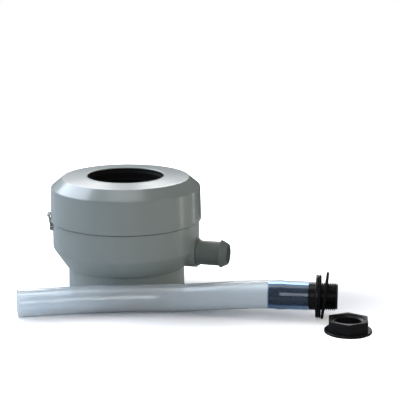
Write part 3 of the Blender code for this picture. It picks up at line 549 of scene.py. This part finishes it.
def moulded(name, deep, pale, cloud, grain, relief, gloss, ior=1.5, shine=0.5):
    """A moulded plastic or rubber: cloudy shade, mottled gloss, fine specks and a surface grain.

    cloud and grain are pattern sizes and relief is the grain's height, all in metres. gloss is the
    least and the most roughness, and shine scales the mirror part of the surface.
    """
    made = bpy.data.materials.new(name)
    made.use_nodes = True
    tree = made.node_tree
    shader = tree.nodes["Principled BSDF"]
    where = add(tree, "ShaderNodeTexCoord").outputs["Object"]
    clouds = add(tree, "ShaderNodeTexNoise", {"Vector": where, "Scale": 1 / cloud, "Detail": 3.0})
    specks = add(tree, "ShaderNodeTexNoise", {"Vector": where, "Scale": 1 / grain, "Detail": 4.0})
    mottle = add(tree, "ShaderNodeMix", {0: 0.25, 2: clouds.outputs["Fac"], 3: specks.outputs["Fac"]})
    shade = add(tree, "ShaderNodeMix", {0: mottle.outputs[0], 6: srgb(deep), 7: srgb(pale)},
                data_type="RGBA")
    rubbed = add(tree, "ShaderNodeMapRange", {"Value": clouds.outputs["Fac"], "From Min": 0.3,
                                              "From Max": 0.7, "To Min": gloss[0], "To Max": gloss[1]})
    bumps = add(tree, "ShaderNodeBump", {"Height": specks.outputs["Fac"], "Distance": relief,
                                         "Strength": 1.0})
    tree.links.new(shade.outputs[2], shader.inputs["Base Color"])
    tree.links.new(rubbed.outputs[0], shader.inputs["Roughness"])
    tree.links.new(bumps.outputs[0], shader.inputs["Normal"])
    shader.inputs["IOR"].default_value = ior
    shader.inputs["Specular IOR Level"].default_value = shine
    return made


# Grey ABS from a polished mould: a clear sheen, hardly any grain and a very slight cloudiness.
grey_abs = moulded("moulded_grey_abs", "848D8A", "8B9491", cloud=0.045, grain=0.0025, relief=0.00001,
                   gloss=(0.20, 0.23), ior=1.53)
piece("lower_shell", lower_shell, grey_abs, "grey_shell", "root", "housing_shell")


# ---------------------------------------------------------------- rubber rings of the drum
# Black EPDM rubber, moulded: a round ring between the shells, a lip ring in the socket, a round
# ring on the spout and a flat ring under the overflow riser. They lie in their grooves.
SOCKET_LIP = 0.0010
SOCKET_LIP_DROP = 0.0012
OUTLET_RING_AT = 0.0690
OUTLET_RING_R = 0.0006
RISER_R = 0.0452
RISER_FLANGE = 0.0036
RISER_GASKET_HEIGHT = 0.0016
RING_SIDES = 16
rubber = moulded("moulded_black_epdm", "0D0D0E", "161617", cloud=0.012, grain=0.0006, relief=0.00002,
                 gloss=(0.60, 0.75), shine=0.1)


def round_ring(centre_r, centre_z, radius, place, steps):
    """A rubber ring of round section, drawn with RING_SIDES sides."""
    corners = [(centre_r + radius * math.cos(2 * math.pi * side / RING_SIDES),
                centre_z - radius * math.sin(2 * math.pi * side / RING_SIDES), 0.0)
               for side in range(RING_SIDES)]
    return turned(corners, place, steps)


joint_ring = round_ring(GROOVE_R + GAP + JOINT_RING_R, JOINT_RING_Z, JOINT_RING_R, DRUM, DRUM_STEPS)
piece("joint_ring_round", joint_ring, rubber, "black_rubber", "root", "joint_ring", sharp=60.0)
outlet_ring = round_ring(OUTLET_R - OUTLET_RING_R, OUTLET_RING_AT, OUTLET_RING_R, OUTLET, SMALL_STEPS)
piece("outlet_ring_round", outlet_ring, rubber, "black_rubber", "root", "outlet_ring", sharp=60.0)
piece("socket_lip_ring", turned((
    (socket_groove_r - GAP, SOCKET_RING_Z + SOCKET_RING_HEIGHT, FINE_ROUND),
    (socket_groove_r - GAP, SOCKET_RING_Z, FINE_ROUND),
    (SOCKET_BORE_R - GAP, SOCKET_RING_Z, FINE_ROUND),
    (SOCKET_BORE_R - SOCKET_LIP, SOCKET_RING_Z + SOCKET_RING_HEIGHT - SOCKET_LIP_DROP, SOFT_ROUND),
    (SOCKET_BORE_R - GAP, SOCKET_RING_Z + SOCKET_RING_HEIGHT, FINE_ROUND),
), DRUM), rubber, "black_rubber", "root", "socket_ring")
piece("riser_flat_ring", turned((
    (RISER_R + RISER_FLANGE, TROUGH_Z + GAP + RISER_GASKET_HEIGHT, TINY_ROUND),
    (RISER_R + RISER_FLANGE, TROUGH_Z + GAP, TINY_ROUND),
    (RISER_R + GAP, TROUGH_Z + GAP, TINY_ROUND),
    (RISER_R + GAP, TROUGH_Z + GAP + RISER_GASKET_HEIGHT, TINY_ROUND),
), DRUM), rubber, "black_rubber", "root", "riser_gasket")


# ---------------------------------------------------------------- overflow riser
# Black polypropylene tube with a foot flange, moulded. It stands in the throat on its flat ring,
# and water that rises above its rim runs on down the pipe.
RISER_WALL = 0.0022
RISER_TOP_Z = 0.0620
RISER_FLANGE_Z = TROUGH_Z + RISER_GASKET_HEIGHT + 2 * GAP
RISER_FLANGE_HEIGHT = 0.0020
black_pp = moulded("moulded_black_polypropylene", "0B0B0D", "131315", cloud=0.020, grain=0.0010,
                   relief=0.000015, gloss=(0.24, 0.34), shine=0.2)
piece("riser_tube", turned((
    (RISER_R, RISER_TOP_Z, SOFT_ROUND),
    (RISER_R, RISER_FLANGE_Z + RISER_FLANGE_HEIGHT, 0.0),
    (RISER_R + RISER_FLANGE, RISER_FLANGE_Z + RISER_FLANGE_HEIGHT, FINE_ROUND),
    (RISER_R + RISER_FLANGE, RISER_FLANGE_Z, TINY_ROUND),
    (RISER_R, RISER_FLANGE_Z, 0.0),
    (RISER_R, PIPE_STOP_Z, TINY_ROUND),
    (RISER_R - RISER_WALL, PIPE_STOP_Z, TINY_ROUND),
    (RISER_R - RISER_WALL, RISER_TOP_Z, 0.0008),
), DRUM), black_pp, "black_plastic", "root", "overflow_riser")


# ---------------------------------------------------------------- filter cage
# Black polypropylene cage that slips over the riser and round the neck: a lower ring with a
# skirt, twelve upright ribs and an upper ring, with a woven stainless sieve rolled inside it.
OPENING_R = 0.0382
NECK_R = 0.0416
NECK_END_Z = 0.0918
NECK_ENTRY = 0.0030
CAGE_WALL = 0.0052
CAGE_BORE_R = NECK_R + GAP
CAGE_R = CAGE_BORE_R + CAGE_WALL
CAGE_BOTTOM_Z = RISER_TOP_Z + GAP
CAGE_TOP_Z = NECK_END_Z + NECK_ENTRY
CAGE_RING_HEIGHT = 0.0042
CAGE_PLATE = 0.0018
CAGE_SKIRT = 0.0052
CAGE_SKIRT_R = RISER_R + GAP
CAGE_SKIRT_WALL = 0.0014
CAGE_RIBS = 12
CAGE_RIB_WIDTH = 0.0032
SIEVE_WALL = 0.0007
lower_top = CAGE_BOTTOM_Z + CAGE_RING_HEIGHT
upper_low = CAGE_TOP_Z - CAGE_RING_HEIGHT
cage = turned((
    (CAGE_R, lower_top, LIP_ROUND),
    (CAGE_R, CAGE_BOTTOM_Z + CAGE_PLATE, 0.0),
    (CAGE_SKIRT_R + CAGE_SKIRT_WALL, CAGE_BOTTOM_Z + CAGE_PLATE, 0.0),
    (CAGE_SKIRT_R + CAGE_SKIRT_WALL, CAGE_BOTTOM_Z - CAGE_SKIRT, SOFT_ROUND),
    (CAGE_SKIRT_R, CAGE_BOTTOM_Z - CAGE_SKIRT, SOFT_ROUND),
    (CAGE_SKIRT_R, CAGE_BOTTOM_Z, 0.0),
    (CAGE_BORE_R, CAGE_BOTTOM_Z, FINE_ROUND),
    (CAGE_BORE_R, lower_top, FINE_ROUND),
), DRUM, SMALL_STEPS)
upper_ring = turned((
    (CAGE_R, CAGE_TOP_Z, RIM_ROUND),
    (CAGE_R, upper_low, LIP_ROUND),
    (CAGE_BORE_R, upper_low, FINE_ROUND),
    (CAGE_BORE_R, CAGE_TOP_Z, RIM_ROUND),
), DRUM, SMALL_STEPS)
rib_in = CAGE_BORE_R + SIEVE_WALL + 2 * GAP
rib_out = CAGE_R - GAP
ribs = [plate((
    (rib_in, lower_top - CAGE_RING_HEIGHT / 2, 0.0),
    (rib_out, lower_top - CAGE_RING_HEIGHT / 2, 0.0),
    (rib_out, upper_low + CAGE_RING_HEIGHT / 2, 0.0),
    (rib_in, upper_low + CAGE_RING_HEIGHT / 2, 0.0),
), CAGE_RIB_WIDTH, SOFT_ROUND, DRUM @ Matrix.Rotation(2 * math.pi * (index + 0.5) / CAGE_RIBS, 4, "Z"))
    for index in range(CAGE_RIBS)]
cage = combined(cage, [upper_ring, *ribs], "UNION")
piece("filter_cage", cage, black_pp, "black_plastic", "filter", "filter_frame")

# The sieve is a plain weave of 0.35 mm wire at a 1.6 mm pitch, coarser than the real one so that
# it shows: each wire goes over one crossing wire and under the next.
WIRE_R = 0.000175
WIRES_ROUND = 168
WIRES_UP = 14
WIRE_WAVE = 0.00016
STREAK_SIZE = 0.0015
sieve_low = lower_top + GAP
sieve_high = upper_low - GAP
sieve_r = CAGE_BORE_R + GAP + SIEVE_WALL / 2


def swept(points, radius, closed):
    """A thin wire of square section through the points, given as distance, turn and height."""
    wire = bpy.data.curves.new("wire", "CURVE")
    wire.dimensions = "3D"
    wire.bevel_depth = radius
    wire.bevel_resolution = 0
    wire.use_fill_caps = not closed
    spline = wire.splines.new("POLY")
    spline.points.add(len(points) - 1)
    spline.use_cyclic_u = closed
    for point, (distance, turn, height) in zip(spline.points, points):
        point.co = (distance * math.cos(turn), distance * math.sin(turn), height, 1.0)
    return evaluated(bpy.data.objects.new("wire", wire))


row_heights = [sieve_low + WIRE_R + (sieve_high - sieve_low - 2 * WIRE_R) * row / (WIRES_UP - 1)
               for row in range(WIRES_UP)]
weave = bmesh.new()
for row, height in enumerate(row_heights):
    weave.from_mesh(swept([(sieve_r + WIRE_WAVE * (-1) ** (row + column), 2 * math.pi * column / WIRES_ROUND,
                            height) for column in range(WIRES_ROUND)], WIRE_R, True))
uprights = [swept([(sieve_r + side * WIRE_WAVE * (-1) ** row, 0.0, height)
                   for row, height in enumerate(row_heights)], WIRE_R, False) for side in (-1, 1)]
for column in range(WIRES_ROUND):
    wire = uprights[column % 2].copy()
    wire.transform(Matrix.Rotation(2 * math.pi * column / WIRES_ROUND, 4, "Z"))
    weave.from_mesh(wire)

# Woven stainless wire: bright grey, a little dull from drawing, with fine streaks along it.
steel = bpy.data.materials.new("woven_stainless_wire")
steel.use_nodes = True
tree = steel.node_tree
shader = tree.nodes["Principled BSDF"]
where = add(tree, "ShaderNodeTexCoord").outputs["Object"]
streaks = add(tree, "ShaderNodeTexNoise", {"Vector": where, "Scale": 1 / STREAK_SIZE, "Detail": 3.0})
drawn = add(tree, "ShaderNodeMix", {0: streaks.outputs["Fac"], 6: srgb("A5A5A2"), 7: srgb("C9C9C6")},
            data_type="RGBA")
dulled = add(tree, "ShaderNodeMapRange", {"Value": streaks.outputs["Fac"], "To Min": 0.25, "To Max": 0.45})
tree.links.new(drawn.outputs[2], shader.inputs["Base Color"])
tree.links.new(dulled.outputs[0], shader.inputs["Roughness"])
shader.inputs["Metallic"].default_value = 1.0
piece("filter_sieve", as_mesh(weave, DRUM), steel, "sieve_steel", "filter", "filter_screen", sharp=80.0)


# ---------------------------------------------------------------- upper shell
# Injection-moulded grey ABS in one piece: the pipe opening, a shallow cone, a sloping band, the
# side with its draft, and the inlet neck inside, with a recess for the rubber sleeve.
TOP_Z = 0.1208
CONE_DROP = 0.0017
CONE_EDGE_Z = TOP_Z - CONE_DROP
CHAMFER_WIDTH = 0.0113
CHAMFER_DROP = 0.0094
CHAMFER_BOTTOM_Z = CONE_EDGE_Z - CHAMFER_DROP
CHAMFER_TURN = math.atan2(CHAMFER_WIDTH, CONE_EDGE_Z - CHAMFER_BOTTOM_Z)
CAP_DRAFT = 0.0010
SIDE_TOP_R = CAP_R - CAP_DRAFT
CONE_EDGE_R = SIDE_TOP_R - CHAMFER_WIDTH
OPENING_ROUND = 0.0009
CHAMFER_ROUND = 0.0016
INNER_ROUND = 0.0008
NECK_ROOT_ROUND = 0.0010
SLEEVE_LIP = 0.0030
SLEEVE_DEPTH = 0.0014
recess_r = OPENING_R + SLEEVE_DEPTH
upper_shell = turned((
    (OPENING_R, TOP_Z, OPENING_ROUND),
    (CONE_EDGE_R, CONE_EDGE_Z, CHAMFER_ROUND),
    (SIDE_TOP_R, CHAMFER_BOTTOM_Z, CHAMFER_ROUND),
    (CAP_R, SEAM_Z, LIP_ROUND),
    (CAP_R - WALL, SEAM_Z, FINE_ROUND),
    (SIDE_TOP_R - WALL, CHAMFER_BOTTOM_Z - WALL * math.tan(CHAMFER_TURN / 2), INNER_ROUND),
    (CONE_EDGE_R - WALL * math.tan((math.pi / 2 - CHAMFER_TURN) / 2), CONE_EDGE_Z - WALL, INNER_ROUND),
    (NECK_R, TOP_Z - WALL, NECK_ROOT_ROUND),
    (NECK_R, NECK_END_Z, SOFT_ROUND),
    (OPENING_R, NECK_END_Z, SOFT_ROUND),
    (OPENING_R, NECK_END_Z + SLEEVE_LIP, TINY_ROUND),
    (recess_r, NECK_END_Z + SLEEVE_LIP, 0.0),
    (recess_r, TOP_Z - SLEEVE_LIP, 0.0),
    (OPENING_R, TOP_Z - SLEEVE_LIP, TINY_ROUND),
), DRUM)
piece("upper_shell", upper_shell, grey_abs, "grey_shell", "cap", "cap_shell")


# ---------------------------------------------------------------- inlet sleeve
# Black EPDM sleeve in the neck's recess. Three soft ribs, each undercut below, bend as the
# downpipe is pushed in and close the gap round it, and a thin liner runs up to the opening.
SLEEVE_LINER = 0.0001
SLEEVE_LINER_DROP = 0.0009
SLEEVE_WALL = 0.0020
SLEEVE_RIB = 0.0006
SLEEVE_RIBS = 3
SLEEVE_RIB_TIP = 0.75
sleeve_top = TOP_Z - SLEEVE_LIP - GAP
sleeve_end = NECK_END_Z + SLEEVE_LIP + GAP
sleeve_r = recess_r - GAP
sleeve_bore = sleeve_r - SLEEVE_WALL
pitch = (sleeve_top - sleeve_end) / SLEEVE_RIBS
sleeve = [(sleeve_r, sleeve_top, FINE_ROUND), (sleeve_r, sleeve_end, FINE_ROUND)]
for rib in range(SLEEVE_RIBS):
    sleeve.append((sleeve_bore, sleeve_end + rib * pitch, FINE_ROUND))
    sleeve.append((sleeve_bore - SLEEVE_RIB, sleeve_end + (rib + SLEEVE_RIB_TIP) * pitch, SOFT_ROUND))
sleeve.append((sleeve_bore, sleeve_top, FINE_ROUND))
sleeve.append((OPENING_R - 2 * SLEEVE_LINER, sleeve_top, 0.0))
sleeve.append((OPENING_R - 2 * SLEEVE_LINER, TOP_Z - SLEEVE_LINER_DROP, 0.0001))
sleeve.append((OPENING_R - SLEEVE_LINER, TOP_Z - SLEEVE_LINER_DROP, 0.0001))
sleeve.append((OPENING_R - SLEEVE_LINER, sleeve_top, 0.0))
piece("ribbed_sleeve", turned(sleeve, DRUM), rubber, "black_rubber", "cap", "inlet_sleeve")


# ---------------------------------------------------------------- side spout
# Spout of moulded plastic, coloured a darker grey than the shells: its root is pushed into the boss up to a
# small collar, and the far end has one barb with a long lead-in, for a garden hose.
OUTLET_BORE_R = 0.0094
OUTLET_REACH = 0.1067
OUTLET_COLLAR_WIDTH = 0.0022
OUTLET_COLLAR_END = OUTLET_FACE + GAP + OUTLET_COLLAR_WIDTH
OUTLET_COLLAR_RISE = 0.0010
OUTLET_COLLAR_R = OUTLET_R + OUTLET_COLLAR_RISE
OUTLET_BARB_LEAD = 0.0080
OUTLET_BARB_AT = OUTLET_REACH - OUTLET_BARB_LEAD
OUTLET_BARB_BACK = 0.0004
OUTLET_BARB_FRONT = 0.0012
OUTLET_BARB_R = 0.0138
OUTLET_TIP_R = 0.0103
groove = OUTLET_RING_R + GAP
groove_r = OUTLET_R - 2 * OUTLET_RING_R - GAP
spout_darker_grey = moulded("moulded_darker_grey_spout", "666F6B", "717B77", cloud=0.025, grain=0.0012,
                  relief=0.000012, gloss=(0.30, 0.40), shine=0.35)
piece("spout", turned((
    (OUTLET_TIP_R, OUTLET_REACH, LIP_ROUND),
    (OUTLET_BARB_R, OUTLET_BARB_AT + OUTLET_BARB_FRONT, FINE_ROUND),
    (OUTLET_BARB_R, OUTLET_BARB_AT + OUTLET_BARB_BACK, TINY_ROUND),
    (OUTLET_R, OUTLET_BARB_AT, 0.0),
    (OUTLET_R, OUTLET_COLLAR_END, FINE_ROUND),
    (OUTLET_COLLAR_R, OUTLET_COLLAR_END, SOFT_ROUND),
    (OUTLET_COLLAR_R, OUTLET_FACE + GAP, FINE_ROUND),
    (OUTLET_R, OUTLET_FACE + GAP, 0.0),
    (OUTLET_R, OUTLET_RING_AT + groove, 0.0),
    (groove_r, OUTLET_RING_AT + groove, 0.0),
    (groove_r, OUTLET_RING_AT - groove, 0.0),
    (OUTLET_R, OUTLET_RING_AT - groove, 0.0),
    (OUTLET_R, OUTLET_INNER_END, FINE_ROUND),
    (OUTLET_BORE_R, OUTLET_INNER_END, FINE_ROUND),
    (OUTLET_BORE_R, OUTLET_REACH, RIM_ROUND),
), OUTLET, SMALL_STEPS), spout_darker_grey, "dark_spout", "root", "outlet_spout")


# ---------------------------------------------------------------- snap clip
# Grey ABS clip that hangs on its trunnions between two ears. Its leg springs over the seam, the
# hook bites on the upper shell, and a thumb lip at the top lets it be pulled off.
CLIP_TOP = 0.0132
CLIP_THICKNESS = 0.0013
CLIP_LIP_R = 0.0795
CLIP_LEG_R = 0.0784
CLIP_LIP_OUT = CLIP_LIP_R - CLIP_HINGE_R
CLIP_LEG_OUT = CLIP_LEG_R - CLIP_HINGE_R
CLIP_HOOK_IN = CAP_R + GAP - CLIP_HINGE_R
HOOK_ROOT_DROP = 0.0026
HOOK_TIP_DROP = 0.0012
BARREL_R = 0.0010
clip = plate((
    (0.0, 0.0, 0.0),
    (CLIP_LEG_OUT - CLIP_THICKNESS, CLIP_TOP - CLIP_THICKNESS - HOOK_ROOT_DROP, 0.0),
    (CLIP_HOOK_IN, CLIP_TOP - CLIP_THICKNESS - HOOK_TIP_DROP, 0.0),
    (CLIP_HOOK_IN, CLIP_TOP, SOFT_ROUND),
    (CLIP_LIP_OUT, CLIP_TOP, SOFT_ROUND),
    (CLIP_LIP_OUT, CLIP_TOP - CLIP_THICKNESS, SOFT_ROUND),
    (CLIP_LEG_OUT, CLIP_TOP - CLIP_THICKNESS, FINE_ROUND),
    (BARREL_R, 0.0, 0.0),
), CLIP_WIDTH, 0.0, CLIP)
clip = combined(clip, [
    cylinder(BARREL_R, -CLIP_WIDTH / 2, CLIP_WIDTH / 2, across, BARREL_STEPS),
    cylinder(AXLE_R, -CLIP_WIDTH / 2 - GAP - EAR_WIDTH, CLIP_WIDTH / 2 + GAP + EAR_WIDTH, across,
             PIN_STEPS),
], "UNION")
piece("snap_clip", clip, grey_abs, "grey_shell", "clip", "lock_clip")


# ---------------------------------------------------------------- tank connector
# Black polypropylene, moulded in one piece: a barb with two rings inside the hose, a shoulder,
# a flange and a 3/4 inch pipe thread that goes through the tank's wall.
BARB_R = 0.0098
BARB_RING_R = 0.0104
BARB_TIP_R = 0.0092
BARB_RINGS_AT = (0.0277, 0.0146)
BARB_LEAD = 0.0035
BARB_BACK = 0.0008
CONNECTOR_BORE_R = 0.0078
SHOULDER_R = 0.0131
SHOULDER_LENGTH = 0.0066
SHOULDER_END = GAP + SHOULDER_LENGTH
FLANGE_R = 0.0204
FLANGE_HEIGHT = 0.0026
THREAD_LENGTH = 0.0182
THREAD_START = SHOULDER_END + FLANGE_HEIGHT
THREAD_END = THREAD_START + THREAD_LENGTH
THREAD_R = 0.0132
THREAD_PITCH = 0.001814
THREAD_DEPTH = 0.0012
THREAD_CORE_R = THREAD_R - THREAD_DEPTH
THREAD_LEAD = 0.0014
THREAD_SINK = 0.0002
THREAD_OFF_FLANGE = 0.0004
THREAD_OFF_END = 0.0003
CONNECTOR = (Matrix.Translation(CONNECTOR_END) @ Matrix.Rotation(CONNECTOR_TURN, 4, "Z")
             @ Matrix.Rotation(math.pi / 2, 4, "Y") @ Matrix.Rotation(math.pi / 2, 4, "Z"))


def thread(crest_r, root_r, low, high, lead, place):
    """A right-hand 3/4 inch pipe thread as one long ridge. Its ends run out over the lead."""
    sink = math.copysign(THREAD_SINK, crest_r - root_r)
    section = ((root_r - sink, -0.47), (root_r, -0.40), (crest_r, -0.09), (crest_r, 0.09), (root_r, 0.40),
               (root_r - sink, 0.47))
    turns = (high - low) / THREAD_PITCH - 1.0
    steps = round(turns * SMALL_STEPS)
    work = bmesh.new()
    verts = [work.verts.new((radius, 0.0, low + (share + 0.5) * THREAD_PITCH)) for radius, share in section]
    work.faces.new(verts)
    bmesh.ops.spin(work, geom=work.faces[:] + work.edges[:] + verts, cent=(0.0, 0.0, 0.0),
                   axis=(0.0, 0.0, 1.0), dvec=(0.0, 0.0, turns * THREAD_PITCH / steps),
                   angle=turns * 2 * math.pi, steps=steps)
    for vert in work.verts:
        distance = math.hypot(vert.co.x, vert.co.y)
        inside = min(vert.co.z - low, high - vert.co.z) / lead
        if 0.0 <= inside < 1.0 and abs(distance - root_r) > THREAD_SINK / 2:
            wanted = root_r + (distance - root_r) * inside if distance != root_r - sink else distance
            vert.co.x *= wanted / distance
            vert.co.y *= wanted / distance
    return as_mesh(work, place)


barb = []
for ring_at in reversed(BARB_RINGS_AT):
    barb += [(BARB_R, BARB_BACK - ring_at, 0.0), (BARB_RING_R, -ring_at, TINY_ROUND),
             (BARB_R, -ring_at - BARB_LEAD, 0.0)]
barb.pop()
connector = turned((
    (THREAD_CORE_R, THREAD_END, RIM_ROUND),
    (THREAD_CORE_R, THREAD_START, 0.0),
    (FLANGE_R, THREAD_START, LIP_ROUND),
    (FLANGE_R, SHOULDER_END, LIP_ROUND),
    (SHOULDER_R, SHOULDER_END, SOFT_ROUND),
    (SHOULDER_R, GAP, LIP_ROUND),
    (BARB_R, GAP, TINY_ROUND),
    *barb,
    (BARB_TIP_R, -BARB_LENGTH, SOFT_ROUND),
    (CONNECTOR_BORE_R, -BARB_LENGTH, SOFT_ROUND),
    (CONNECTOR_BORE_R, THREAD_END, RIM_ROUND),
), CONNECTOR, SMALL_STEPS)
work = bmesh.new()
work.from_mesh(connector)
work.from_mesh(thread(THREAD_R, THREAD_CORE_R, THREAD_START + THREAD_OFF_FLANGE,
                      THREAD_END - THREAD_OFF_END, THREAD_LEAD, CONNECTOR))
work.to_mesh(connector)
work.free()
piece("tank_connector", connector, black_pp, "black_plastic", "hose_set", "connector_body")


# ---------------------------------------------------------------- flange gasket and washer
# Two flat rings of black EPDM: one lies on the connector's flange and seals on the tank's wall,
# the other is loose round the thread, stands on the table and leans on the first.
GASKET_HEIGHT = 0.0020
WASHER_R = 0.0225
WASHER_HEIGHT = 0.0024
WASHER_LEAN = math.radians(6.5)
WASHER_PLAY = 0.0016
WASHER_BORE_R = THREAD_R + WASHER_PLAY
gasket_low = THREAD_START + GAP
gasket = turned((
    (FLANGE_R, gasket_low + GASKET_HEIGHT, LIP_ROUND),
    (FLANGE_R, gasket_low, LIP_ROUND),
    (THREAD_R + GAP, gasket_low, TINY_ROUND),
    (THREAD_R + GAP, gasket_low + GASKET_HEIGHT, TINY_ROUND),
), CONNECTOR, SMALL_STEPS)
piece("flange_seal", gasket, rubber, "black_rubber", "hose_set", "flange_gasket")

washer_middle_z = WASHER_R * math.cos(WASHER_LEAN) + WASHER_HEIGHT / 2 * math.sin(WASHER_LEAN)
washer_at = gasket_low + GASKET_HEIGHT + WASHER_R * math.sin(WASHER_LEAN) + WASHER_HEIGHT / 2
washer = turned((
    (WASHER_R, WASHER_HEIGHT / 2, LIP_ROUND),
    (WASHER_R, -WASHER_HEIGHT / 2, LIP_ROUND),
    (WASHER_BORE_R, -WASHER_HEIGHT / 2, FINE_ROUND),
    (WASHER_BORE_R, WASHER_HEIGHT / 2, FINE_ROUND),
), CONNECTOR @ Matrix.Translation((0.0, washer_middle_z - CONNECTOR_END.z, washer_at))
    @ Matrix.Rotation(WASHER_LEAN, 4, "X"), SMALL_STEPS)
piece("loose_washer", washer, rubber, "black_rubber", "washer", "sealing_washer")


# ---------------------------------------------------------------- flange nut
# Black polypropylene hexagon nut, 36 mm across the flats, with a round flange under it. It lies
# with the flange down. The thread runs right through, with a wide lead-in at the top.
nut_low, nut_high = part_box("flange_nut")
NUT_TURN = math.radians(21.7)
NUT_FLATS = 0.0360
NUT_HEIGHT = 0.0124
NUT_FLANGE_R = 0.0223
NUT_FLANGE_HEIGHT = 0.0022
NUT_CHAMFER = 0.0013
NUT_ROUND = 0.0005
NUT_OVERLAP = 0.0005
NUT_FLANGE_ROUND = 0.0007
NUT_BORE_R = THREAD_CORE_R + GAP
NUT_BORE_STOCK = 0.001
NUT_MOUTH_WIDTH = 0.0032
NUT_MOUTH_TAPER = 0.0006
NUT_MOUTH_R = NUT_BORE_R + NUT_MOUTH_WIDTH
NUT_THREAD_LOW = 0.0008
NUT_THREAD_LEAD = 0.0013
CORE_R = 0.0001
CORE_PIN_R = 0.002
NUT = Matrix.Translation(((nut_low.x + nut_high.x) / 2, (nut_low.y + nut_high.y) / 2, 0.0))
corner_r = NUT_FLATS / 2 / math.cos(math.pi / 6)
hexagon = bmesh.new()
bmesh.ops.create_cone(hexagon, cap_ends=True, segments=6, radius1=corner_r, radius2=corner_r,
                      depth=NUT_HEIGHT - NUT_FLANGE_HEIGHT + NUT_OVERLAP,
                      matrix=Matrix.Translation((0.0, 0.0, (NUT_HEIGHT + NUT_FLANGE_HEIGHT
                                                            - NUT_OVERLAP) / 2)))
bmesh.ops.bevel(hexagon, geom=hexagon.edges[:], offset=NUT_ROUND, offset_type="OFFSET", segments=3,
                profile=0.5, affect="EDGES", material=-1)
nut = as_mesh(hexagon, NUT @ Matrix.Rotation(NUT_TURN - math.pi / 2, 4, "Z"))
flange = turned((
    (NUT_FLANGE_R, NUT_FLANGE_HEIGHT, NUT_FLANGE_ROUND),
    (NUT_FLANGE_R, 0.0, FINE_ROUND),
    (NUT_BORE_R - NUT_BORE_STOCK, 0.0, 0.0),
    (NUT_BORE_R - NUT_BORE_STOCK, NUT_FLANGE_HEIGHT, 0.0),
), NUT, SMALL_STEPS)
nut = combined(nut, [flange], "UNION")
mouth = turned((
    (CORE_R, NUT_HEIGHT + NUT_CHAMFER, 0.0),
    (NUT_MOUTH_R, NUT_HEIGHT + NUT_CHAMFER, 0.0),
    (NUT_MOUTH_R - NUT_MOUTH_TAPER, NUT_HEIGHT - NUT_CHAMFER, 0.0),
    (NUT_BORE_R, NUT_HEIGHT - 2 * NUT_CHAMFER, 0.0),
    (NUT_BORE_R, NUT_CHAMFER, 0.0),
    (NUT_MOUTH_R, -NUT_CHAMFER, 0.0),
    (CORE_R, -NUT_CHAMFER, 0.0),
), NUT, SMALL_STEPS)
core_pin = cylinder(CORE_PIN_R, -CUT_PAST, NUT_HEIGHT + CUT_PAST, NUT, PIN_STEPS)
nut = combined(nut, [mouth, core_pin], "DIFFERENCE")
work = bmesh.new()
work.from_mesh(nut)
work.from_mesh(thread(NUT_BORE_R, THREAD_R + GAP, NUT_THREAD_LOW, NUT_HEIGHT - 2 * NUT_CHAMFER,
                      NUT_THREAD_LEAD, NUT))
work.to_mesh(nut)
work.free()
piece("hexagon_nut", nut, black_pp, "black_plastic", "nut", "flange_nut")
